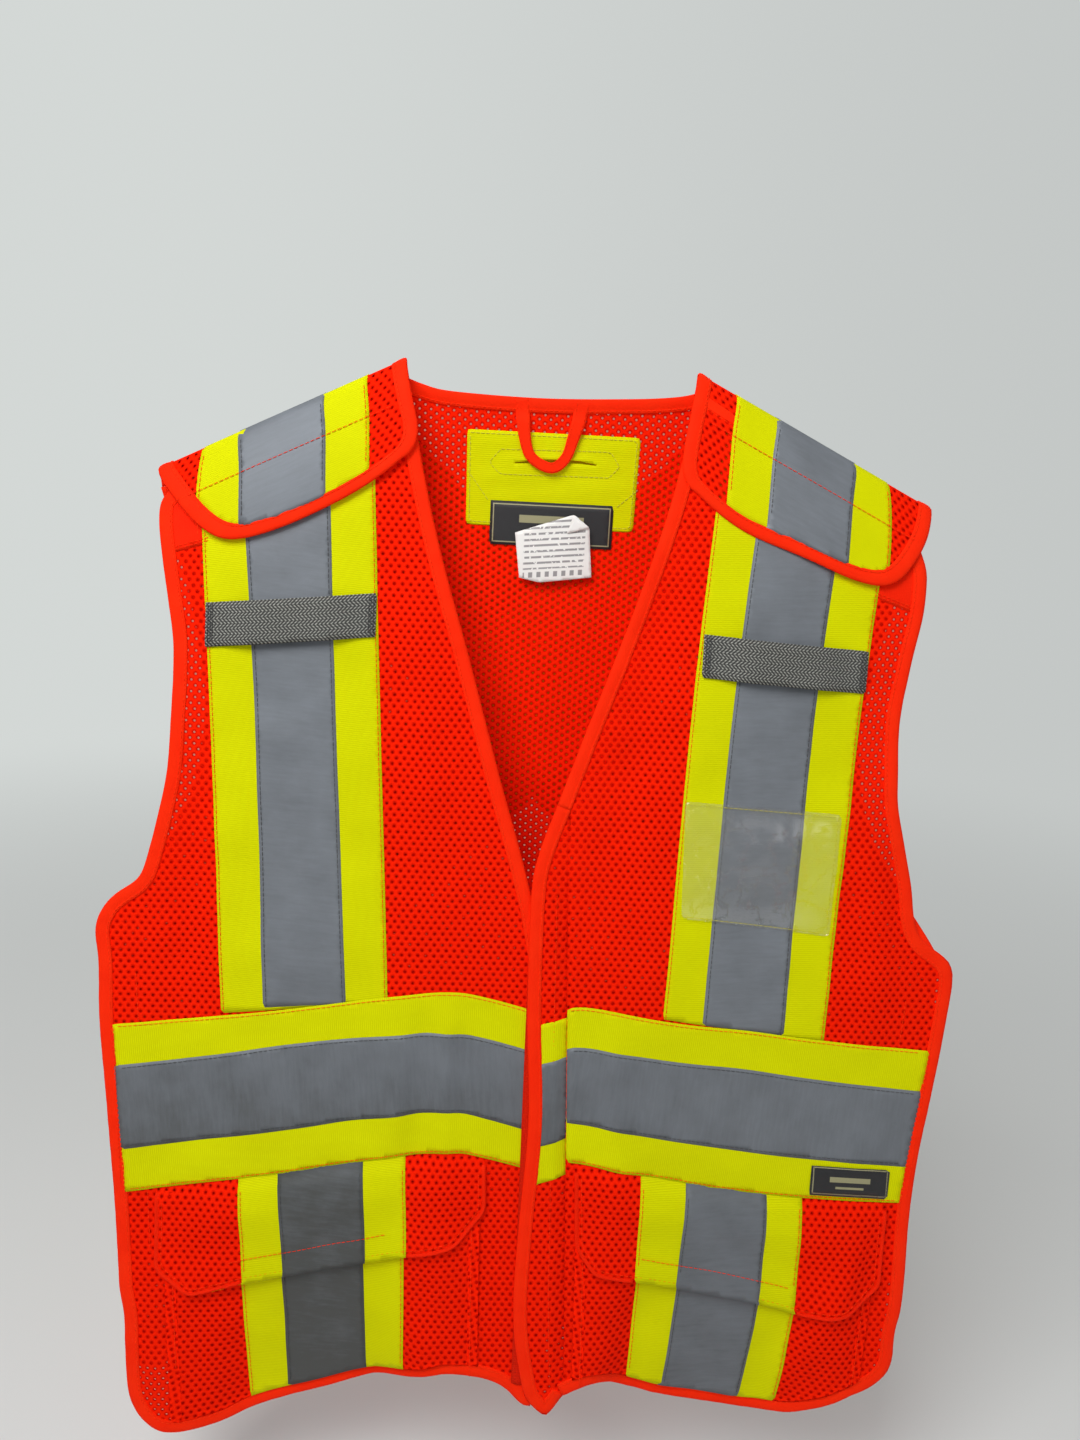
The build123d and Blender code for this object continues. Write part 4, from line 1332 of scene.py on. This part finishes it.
def make_strip():
    """The left front's closure strip and the loop strip it closes on."""
    body, place = "placket", on(strip_surface)
    tuck = 1.6
    closure_edge = curve([V_END] + LEFT_CLOSURE[1:])[:-1]
    fold_end = (fold_x(FOLD_END) + tuck, FOLD_END)
    fold_line = curve([fold_end, (fold_x(-300) + tuck, -300), (fold_x(V_END[1]), V_END[1])])
    line = np.vstack([closure_edge, curve(LEFT_HEM[:2])[:-1], fold_line])
    start = Vector((18, float(left(np.array([18.0]), np.array([-262.0]))[0]), STRIP_HEAD)) * MM
    pieces = []
    mesh = slab("closure_mesh", line, place, -MESH, MESH, M_MESH, step=3.5)
    dress(pieces, mesh, "orange_mesh", "placket_panel")
    path = np.vstack([closure_edge, curve(LEFT_HEM[:2] + [(fold_x(FOLD_END), FOLD_END)])])
    path = open_soften(even(path, EDGE_STEP), 4)
    edge = binding("closure_edge", path, place, M_BINDING, seed=15)
    dress(pieces, edge, "orange_binding", "placket_binding")
    seam = Thread()
    seam.run(path + inward(path, closed=False) * SEAM_IN, place, 0.95)
    inner = curve([(17, -318), (fold_x(-560) - 10, -560), (fold_x(-636) - 9, -636)])
    seam.run(inner, place, 0.05, radius=0.2)
    dress(pieces, seam.made("closure_thread", M_THREAD), "orange_binding")
    for piece in pieces:
        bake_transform(piece)

    def across(left_top, right_top, left_bottom, right_bottom):
        return [(7, left_top), (fold_x(right_top) + 1.5, right_top),
                (fold_x(right_bottom) + 1.5, right_bottom), (7, left_bottom)]

    for kind, level, region in (
        ("tape", 0.05, across(-401, -396, -506, -498)),
        ("silver", 0.55, across(-427, -421, -481, -474)),
    ):
        t = TAPES[kind]
        ring = polygon(region, 2.0)
        ring[:, 0] = np.maximum(ring[:, 0], np.interp(-ring[:, 1], [390, 464, 533], [9.5, 13.0, 12.0]))
        piece = slab(
            f"closure_{t.word}", ring, place, level, t.thick, t.material, turn=math.pi / 2, edge=0.1, step=3.0
        )
        sew(piece, body, t.slot, f"placket_{t.node}")
    hook_line = [(10, -318), (18, -318), (22, -600), (28, -643), (18, -643), (11, -600)]
    hooks = slab("closure_hooks", polygon(hook_line), place, -MESH - 0.65, 0.6, M_HOOK)
    sew(hooks, body, "hook_and_loop", "placket_hook_strip")
    lined = [(20, -520), (fold_x(-520) - 1, -520), (fold_x(-640) - 1, -641), (29, -650), (24, -600)]
    lining = slab("closure_lining", polygon(lined), place, -MESH - 1.3, 0.5, M_MESH, turn=0.7, step=3.5)
    sew(lining, body, "orange_mesh")
    loop_line = [(1, -335), (14, -400), (15, -641), (3, -641)]
    loops = slab("closure_loops", polygon(loop_line), on(front), 1.4, 0.5, M_LOOP)
    sew(loops, "right_front", "hook_and_loop", "placket_loop_strip")


# ---- shoulders -----------------------------------------------------------------------------------
ROLL = 2.6  # the cloth turns over the ridge on this radius
ARC = ROLL * math.pi / 2
BACK_REACH = 12.0  # how far down the back a shoulder piece goes
# flap edges as (x, way from the ridge down the front), from the back over the ridge and round to the back
FLAP_EDGE = {
    "right": [
        (-87, -12), (-88.5, 0), (-84, 22), (-79, 42), (-81, 54), (-90, 62), (-118, 69), (-158, 70.5),
        (-188, 64.5), (-207, 48), (-226, 20), (-235.5, 3), (-236, -12),
    ],
    "left": [
        (87, -12), (87, 0), (82.5, 26), (79, 50), (80, 63), (88, 72), (117, 78.4), (155, 74),
        (192, 69.5), (214, 58), (230, 29.5), (237, 4), (236.5, -12),
    ],
}
FLAP_DEPTH = {"right": 58, "left": 64}  # how far down the tapes' seams reach


def shoulder_place(x, v, w):
    """A point of a shoulder flap, v down the front from the ridge or up from the back, w off the cloth."""
    top = ridge(x)
    down_front = ROLL + np.maximum(v - ARC, 0)
    down_back = ROLL + np.maximum(-v - ARC, 0)
    puff = 0.5 * (1 + ripples(x, v, 51, 60, 130)) * smooth(v / 25)
    y_front = front(x, top - down_front) - 2.9 - puff
    y_back = back(x, top - down_back) + MESH
    turned = np.clip(v / ROLL, -math.pi / 2, math.pi / 2)
    first = front(x, top - ROLL) - 2.9
    last = back(x, top - ROLL) + MESH
    middle, half = (first + last) / 2, (last - first) / 2
    y_top, z_top = middle - (half + w) * np.sin(turned), top - ROLL + (ROLL + w) * np.cos(turned)
    y = np.where(v > ARC, y_front - w, np.where(v < -ARC, y_back + w, y_top))
    z = np.where(v > ARC, top - down_front, np.where(v < -ARC, top - down_back, z_top))
    return np.column_stack([x, y, z])


def flap_tape_edge(name, offset, silver):
    """One edge of the tape over a shoulder, as (x, v). At the ridge it turns in towards the back's middle."""
    side = SIDES[name]
    top, low = 161.5 + offset, 156.5 + offset
    curve_in = -4.0 if (offset > 0 and not silver) else 0.0
    edge = [(top - 11, -BACK_REACH), (top + curve_in, 0), ((top + low) / 2, 30), (low, 95)]
    return [(side * x, v) for x, v in edge]


def turned_uv(x, v):
    return x, -v


def make_shoulder_flap(name):
    side, body = SIDES[name], f"{name}_shoulder_flap"
    path = curve(FLAP_EDGE[name])
    if side == 1:
        path = path[::-1]
    path = open_soften(even(path, EDGE_STEP), 3)
    ring = np.vstack([path, curve([tuple(path[-1]), tuple(path[0])])[1:-1]])
    inside = path + inward(path, closed=False) * (BINDING - 1.2)
    inside = np.vstack([inside, curve([tuple(inside[-1]), tuple(inside[0])])[1:-1]])
    pieces = []
    mesh = slab(f"{body}_mesh", ring, shoulder_place, 0.0, MESH, M_MESH, step=3.4, uv_of=turned_uv)
    fix_normals(mesh)
    dress(pieces, mesh, "orange_mesh", body)
    rim = binding(f"{body}_edge", path, shoulder_place, M_BINDING, seed=17, lift=0.3)
    dress(pieces, rim, "orange_binding", f"{body}_binding")
    seams = {"tape": Thread(), "silver": Thread()}
    seams["tape"].run(path + inward(path, closed=False) * SEAM_IN, shoulder_place, 1.25)
    for kind, half, level in (("tape", TAPE / 2, MESH + 0.05), ("silver", SILVER / 2, MESH + 0.55)):
        t = TAPES[kind]
        edges = [flap_tape_edge(name, o, kind == "silver") for o in (-half, half)]
        region = within(inside, side_by_side(*edges))
        piece = slab(
            f"{body}_{t.word}", region, shoulder_place, level, t.thick, t.material,
            step=3.4, edge=0.1, uv_of=turned_uv,
        )
        fix_normals(piece)
        dress(pieces, piece, t.slot, f"{body}_{t.node}")
        for edge, inwards in zip(edges, (1.8 * side, -1.8 * side)):
            line = curve(edge) + (inwards, 0)
            line = line[(line[:, 1] < FLAP_DEPTH[name]) & (line[:, 1] > 6)]
            seams[kind].run(line, shoulder_place, level + t.thick + 0.04, radius=0.2)
    across = np.linspace(96, 225, 50) * side
    cross_seam = np.column_stack([across, 27 + 0 * across])
    seams["tape"].run(cross_seam, shoulder_place, MESH + 0.9, radius=0.2)
    for kind, word in (("tape", "thread"), ("silver", "grey_thread")):
        t = TAPES[kind]
        dress(pieces, seams[kind].made(f"{body}_{word}", t.thread_material), t.thread_slot)
    top = Vector((side * 160, 1.0, float(ridge(np.array([160.0]))[0]))) * MM
    for piece in pieces:
        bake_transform(piece)
    strip = [(side * x, v) for x, v in ((114, 20), (204, 20), (192, 50), (112, 50))]
    hooks = slab(
        f"{name}_shoulder_hooks", polygon(strip), shoulder_place, -0.75, 0.7, M_HOOK, uv_of=turned_uv
    )
    fix_normals(hooks)
    sew(hooks, body, "hook_and_loop", f"{name}_shoulder_hook_strip")


# ---- back ----------------------------------------------------------------------------------------
def shoulder_line(x):
    """Where the back panel meets the shoulder piece."""
    return ridge(x) - ROLL - (BACK_REACH - ARC)


BACK_NECK = [(87, -10.6), (76, -13), (49, -15.5), (-6, -17.8), (-61, -16.5), (-78, -13.5), (-87, -10.6)]
BACK_ARM = [
    (236.5, -82.7), (227, -125), (216, -180), (213, -225), (219, -272), (236, -312), (256, -343), (262, -353),
]
BACK_SIDE = [(262, -353), (257, -420), (250, -520), (244, -610), (241, -632)]
BACK_HEM = [(241, -632), (236, -645), (222, -656), (198, -660), (100, -662), (0, -662)]
SLOT = [(-23, -57.2), (-12, -55.1), (4, -54), (19, -54), (31.5, -56.1), (19, -55.4), (4, -55.5), (-12, -56.6)]


def slot_hole():
    return soften(even(curve(SLOT + SLOT[:1])[:-1], 1.5, True), 1)


def back_rim():
    """The back's bound edge from one shoulder round the hem to the other, as stretches."""
    half = [BACK_ARM, BACK_SIDE, BACK_HEM]
    return half + [mirrored(s)[::-1] for s in reversed(half)]


def back_outline():
    shoulders = np.array([(x, shoulder_line(x)) for x in np.linspace(87, 236.5, 40)])
    other = np.array([(-x, z) for x, z in shoulders[::-1]])
    rim = [curve(s)[:-1] for s in back_rim()]
    return np.vstack([shoulders[:-1], *rim, other[:-1], curve(BACK_NECK[::-1])[:-1]])


def make_back():
    outline = back_outline()
    inner, outer = on(back), behind(back)
    panel = slab(
        "back_mesh", outline, inner, -MESH, MESH, M_MESH, holes=[slot_hole()], step=4.6, turn=math.pi / 2
    )
    sew(panel, "root", "orange_mesh", "back_panel")
    stretches = [curve(s) for s in back_rim()]
    rim_path = np.vstack([s[:-1] for s in stretches[:-1]] + [stretches[-1]])[::-1]
    rim_path = open_soften(even(rim_path, EDGE_STEP), 4)
    neck_path = open_soften(even(curve(BACK_NECK), EDGE_STEP), 2)
    edge = binding("back_edge", rim_path, inner, M_BINDING, seed=19)
    sew(edge, "root", "orange_binding", "back_binding")
    neck = binding("back_neck_edge", neck_path, inner, M_BINDING, seed=20)
    sew(neck, "root", "orange_binding")
    for line in (rim_path, neck_path):
        sewn = line + inward(line, closed=False) * SEAM_IN
        thread("root").run(sewn, inner, 0.95)
        thread("root").run(sewn, outer, 1.5, facing=1)
    make_back_tapes(outline)


def outside_back(x, z, w):
    """place() for what is sewn on the outside of the back."""
    return np.column_stack([x, back(x, z) + MESH + w, z])


def back_tape(name, kind, region, level, turn, *nodes):
    t = TAPES[kind]
    piece = slab(name, region, outside_back, level, t.thick, t.material, turn=turn, edge=0.1, step=4.6)
    fix_normals(piece)
    sew(piece, "root", t.slot, *nodes)


def back_seam(kind, line, level):
    t = TAPES[kind]
    thread("root", t.thread).run(line, outside_back, level + t.thick + 0.04, radius=0.2, facing=1)


def make_back_tapes(outline):
    inside, seam_limit = inset(outline, SEWN_END), inset(outline, BINDING + 1)
    upper = inside[inside[:, 1] > -408]  # the back above its waist band
    shoulder = np.array([162.0, -36.0])
    heading = np.array(CROSSING) - shoulder
    heading /= np.hypot(*heading)
    normal = np.array([-heading[1], heading[0]])
    for side, lift in ((1, 0.0), (-1, 0.85)):
        # these tapes start on the shoulder of that name and cross to the other side
        word = "left" if side == 1 else "right"
        for kind, half, level in (("tape", TAPE / 2, 0.05), ("silver", SILVER / 2, 0.55)):
            edges = []
            for offset in (-half, half):
                first = shoulder - normal * offset - heading * 26
                last = shoulder - normal * offset + heading * 640
                edges.append([(side * first[0], first[1]), (side * last[0], last[1])])
            region = within(upper, side_by_side(*edges))
            nodes = [f"back_x_{TAPES[kind].node}"] if word == "left" else []
            turn = side * math.atan2(-heading[0], -heading[1])
            back_tape(f"back_cross_{word}_{TAPES[kind].word}", kind, region, level + lift, turn, *nodes)
            for edge, inwards in zip(edges, (1.8, -1.8)):
                line = curve(edge) + np.array([side * normal[0], normal[1]]) * inwards
                line = keep_inside(line, seam_limit, above=band_edge(0))
                back_seam(kind, line, level + lift)
    for kind, low, high, level in (("tape", 0, TAPE, 1.75), ("silver", TAPE / 4, TAPE * 3 / 4, 2.25)):
        region = within(inside, side_by_side(band_edge(low), band_edge(high)))
        t = TAPES[kind]
        back_tape(f"back_waist_{t.word}", kind, region, level, math.pi / 2, f"back_waist_{t.node}")
        for amount, shift in ((low, -1.8), (high, 1.8)):
            back_seam(kind, keep_inside(curve(band_edge(amount)) + (0, shift), seam_limit), level)


def band_edge(down):
    """A line along the back's waist band, down from its top edge."""
    return [(x, -400 - 0.042 * abs(x) - down) for x in (-275, -140, 0, 140, 275)]


def keep_inside(line, ring, above=None):
    """The points of a line that lie in an outline, and above another line where one is given."""
    line = even(line, 3.0)
    inside = inside_ring(line, ring)
    if above is not None:
        limit = np.array(above)
        inside &= line[:, 1] > np.interp(line[:, 0], limit[:, 0], limit[:, 1]) + 3
    return line[inside] if inside.sum() > 3 else line[:0]


def make_neck_patch():
    """The yellow patch with the D-ring slot."""
    corners = [(-51, -38), (56, -38), (55, -95.5), (-50, -95.5)]
    ring = soften(even(polygon(corners), 2.0, True), 1)

    def draped(x, z, w):
        """The patch, with soft folds across it and the slot's upper lip standing proud of the lower."""
        fade = smooth((x + 51) / 14) * smooth((56 - x) / 14)
        fade = fade * smooth((-38 - z) / 10) * smooth((z + 82) / 12)
        folds = 0.45 * (1.2 + ripples(x * 0.3, z, 61, 11, 24)) * fade
        slot_z = np.interp(x, [-23, -12, 4, 19, 31.5], [-57.2, -55.8, -54.7, -54.7, -56.1])
        lip = 1.1 * np.exp(-np.maximum(z - slot_z, 0) / 4) * (z > slot_z)
        lip = lip * smooth((x + 23) / 10) * smooth((32 - x) / 10)
        return np.column_stack([x, back(x, z) - w - folds - lip, z])

    patch = slab("neck_patch", ring, draped, 0.05, CLOTH, M_YELLOW, holes=[slot_hole()], step=2.2, edge=0.12)
    sew(patch, "root", "yellow_tape", "d_ring_patch")
    lip_line = [(-25, -53), (33, -52), (33, -60), (-25, -61)]
    lip = slab("d_ring_slot_lip", polygon(lip_line), on(back), -MESH - 0.9, CLOTH, M_YELLOW)
    sew(lip, "root", "yellow_tape")
    thread("root", "yellow").run(inset(ring, 2.0), draped, 0.55, radius=0.2, closed=True)
    for line in (
        [(-30, -49), (38, -47.5), (44, -56), (38, -63), (-30, -64), (-37, -57), (-30, -49)],
        [(-50, -62.6), (-36, -81)],
        [(55.5, -70.5), (43.5, -81)],
    ):
        thread("root", "yellow").run(open_polygon(line), draped, 0.55, radius=0.2)


def make_neck_labels():
    """The neck label, and the care label, whose corner is turned over."""
    label_line = [(-35, -80), (42, -80), (42, -107), (-35, -107)]
    label = slab(
        "neck_label_cloth", polygon(label_line), on(back), 0.6, 0.5, M_NECK_LABEL,
        edge=0.2, uv_of=lambda x, z: (x - 3.5, z + 93.5),
    )
    sew(label, "root", "woven_label", "neck_label")
    top = -88.0

    def curled(x, z, w):
        down = (top - z) / 41
        corner = smooth((x - 4) / 26) * smooth((z + 112) / 22)
        lift = 0.9 + 2.4 * smooth(down * 1.2) + 3.2 * corner
        wave_in = 1.0 * np.sin((x + 18) / 46 * math.pi) * np.clip(down, 0, 1)
        return np.column_stack([x, back(x, z) - 1.1 - lift - wave_in - w, z])

    care_line = [(-19, -99.2), (17.4, -86.4), (27.3, -94), (30.4, -124.8), (-2.5, -129.4), (-15.2, -127)]
    care = slab(
        "care_label_satin", polygon(care_line), curled, 0.0, 0.25, M_CARE,
        step=2.0, uv_of=lambda x, z: (x - 6, z + 128 - 0.1 * (x - 6)),
    )
    turned_line = [(17.0, -86.6), (27.5, -94.2), (13.5, -98.5)]
    turned = slab(
        "care_label_corner", polygon(turned_line), curled, 0.7, 0.25, M_CARE,
        step=2.0, uv_of=lambda x, z: (x - 6, z * 0),
    )
    for piece in (care, turned):
        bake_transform(piece)
    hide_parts("care_label")


def make_hang_loop():
    """A narrow stitched cloth loop, its ends sewn in under the neck binding."""
    route = curve(
        [
            (-18.5, -19), (-17.8, -24), (-15.8, -40), (-12.2, -51.5), (-4, -57.6), (3.9, -58.5),
            (10.6, -51.8), (14.3, -40), (17, -30), (19, -19),
        ],
        1.6,
    )
    normal = inward(route, closed=False)
    count = len(route)
    ribbon = [(-1, 0), (-0.92, 0.5), (-0.6, 0.62), (0, 0.55), (0.6, 0.62), (0.92, 0.5), (1, 0)]
    profile = ribbon + [(a, -b) for a, b in ribbon[-2:0:-1]]
    half = 3.3 + 1.1 * smooth((route[:, 1] + 52) / 26)
    points, uvs = [], []
    at = np.concatenate([[0], np.cumsum(np.hypot(*np.diff(route, axis=0).T))])
    free = smooth((-route[:, 1] - 25) / 8)
    proud = 0.75 + free * (1.7 + 1.4 * np.sin(np.linspace(0, math.pi, count)))
    for across, out in profile:
        flat = route + normal * across * half[:, None]
        y = back(flat[:, 0], flat[:, 1]) - proud - out
        points.append(np.column_stack([flat[:, 0], y, flat[:, 1]]))
        uvs.append(np.column_stack([np.full(count, across * 4), at]))
    sides = len(profile)
    points = np.stack(points, 1).reshape(-1, 3)
    uvs = np.stack(uvs, 1).reshape(-1, 2)
    faces = [
        (i * sides + k, (i + 1) * sides + k, (i + 1) * sides + (k + 1) % sides, i * sides + (k + 1) % sides)
        for i in range(count - 1)
        for k in range(sides)
    ]
    faces += [tuple(range(sides)), tuple((count - 1) * sides + k for k in reversed(range(sides)))]
    strap = new_object("hang_loop_cloth", points, faces, M_BINDING, uvs)
    fix_normals(strap)
    sew(strap, "hang_loop", "orange_cloth", "hang_loop")
    seam = Thread()
    order = np.argsort(route[:, 1])
    rise = route[order, 1], proud[order]

    def on_loop(x, z, w):
        return np.column_stack([x, back(x, z) - np.interp(z, *rise) - w, z])

    for across in (0.72, -0.72):
        seam.run(route + normal * across * half[:, None], on_loop, 0.6, radius=0.16)
    sew(seam.made("hang_loop_thread", M_THREAD), "hang_loop", "orange_binding")


# ---- putting it together -------------------------------------------------------------------------
make_back()
make_neck_patch()
make_neck_labels()
make_hang_loop()
for name in SIDES:
    make_shoulder_flap(name)
    make_front_panel(name)
    make_chest(name)
    make_waist(name)
    make_side_strips(name)
    make_mic_loop(name)
    make_pocket(name)
    make_pocket_flap(name)
make_card_pocket()
make_waist_label()
make_strip()
THREAD_FINISH = {
    "orange": (M_THREAD, "orange_binding"),
    "grey": (M_THREAD_GREY, "reflective_tape"),
    "yellow": (M_THREAD_YELLOW, "yellow_tape"),
}
for (body, colour), seams in THREADS.items():
    material, slot_name = THREAD_FINISH[colour]
    sew(seams.made(f"{body}_{colour}_thread", material), body, slot_name)


# ---- stage, light and camera ---------------------------------------------------------------------
def make_stage():
    """A pale floor below the hanging vest, which fades into the wall's colour in the distance."""
    mesh = bpy.data.meshes.new("floor")
    size, level = 6.0, CAD_BOX[0][2] - 0.09  # metres
    corners = [(-size, -size, level), (size, -size, level), (size, size, level), (-size, size, level)]
    mesh.from_pydata(corners, [], [(0, 1, 2, 3)])
    floor = bpy.data.objects.new("floor", mesh)
    bpy.context.scene.collection.objects.link(floor)
    p = Paint("floor_paint")
    cloud = p.noise(p.place, 0.7, 2.0)
    paint = p.colours(cloud, [(0.3, (0.67, 0.675, 0.665)), (0.7, (0.71, 0.715, 0.705))])
    p.set(Base_Color=paint, Roughness=0.8, Specular_IOR_Level=0.1)
    far = p.tree.nodes.new("ShaderNodeEmission")
    p.wire(sky(p, p.vector("NORMALIZE", p.place)), far.inputs[0])
    p.mix_over(far, p.ramp(p.vector("LENGTH", p.place), 0.6, 2.9))
    floor.data.materials.append(p.material)
    floor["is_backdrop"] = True


def make_world():
    world = bpy.data.worlds.new("studio")
    bpy.context.scene.world = world
    world.use_nodes = True
    nodes = Nodes(world.node_tree)
    direction = nodes.tree.nodes.new("ShaderNodeTexCoord").outputs["Generated"]
    background = nodes.tree.nodes["Background"]
    nodes.wire(sky(nodes, direction), background.inputs[0])
    background.inputs[1].default_value = 1.0


def sky(p, direction):
    """The studio's colour in a direction: a pale wall behind the vest, dimmer to +X, and dark in front."""
    x, y, _ = p.split(direction)
    behind_vest = p.ramp(y, -0.1, 0.55)
    tone = p.value("MULTIPLY", behind_vest, p.ramp(x, -0.35, 0.5, 1.0, 0.72))
    return p.colours(tone, [(0.0, (0.29, 0.295, 0.30)), (1.0, (0.655, 0.685, 0.67))])


def make_light(name, where, at, size, power):
    """A soft lamp: its place, target and size in metres, and its power in watts."""
    data = bpy.data.lights.new(name, "AREA")
    data.shape = "RECTANGLE"
    data.size, data.size_y = size
    data.energy = power
    lamp = bpy.data.objects.new(name, data)
    lamp.location = where
    direction = Vector(at) - Vector(where)
    lamp.rotation_euler = direction.to_track_quat("-Z", "Y").to_euler()
    lamp.visible_camera = False
    bpy.context.scene.collection.objects.link(lamp)


CAMERA_AT = (-19.6, -677.4, -96.5)
PITCH, YAW, TILT = (math.radians(a) for a in (10.0, 1.85, 2.885))  # down, to the right, and rolled
LENS = 27.0


def make_camera():
    forward = Vector((math.sin(YAW) * math.cos(PITCH), math.cos(YAW) * math.cos(PITCH), -math.sin(PITCH)))
    level = Vector((math.cos(YAW), -math.sin(YAW), 0))
    upward = level.cross(forward)
    right_way = math.cos(TILT) * level + math.sin(TILT) * upward
    up_way = -math.sin(TILT) * level + math.cos(TILT) * upward
    data = bpy.data.cameras.new("camera")
    data.sensor_fit = "VERTICAL"
    data.sensor_height = 36.0
    data.lens = LENS
    data.clip_start = 0.01
    camera = bpy.data.objects.new("camera", data)
    turned = Matrix((right_way, up_way, -forward)).transposed().to_4x4()
    camera.matrix_world = Matrix.Translation(Vector(CAMERA_AT) * MM) @ turned
    bpy.context.scene.collection.objects.link(camera)
    bpy.context.scene.camera = camera


make_stage()
make_world()
make_light("key", (-0.5, -0.95, 0.78), (0, 0, -0.25), (0.8, 0.8), 19)
make_light("fill", (1.8, -1.8, 0.4), (0, 0, -0.35), (1.8, 1.8), 6)
make_light("behind", (0.4, 2.2, 2.2), (0, 0, -0.3), (2.2, 1.6), 12)
make_camera()
bpy.context.scene.view_settings.view_transform = "Standard"

SHOWN_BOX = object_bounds()
[[list(corner) for corner in box] for box in (CAD_BOX, SHOWN_BOX)]
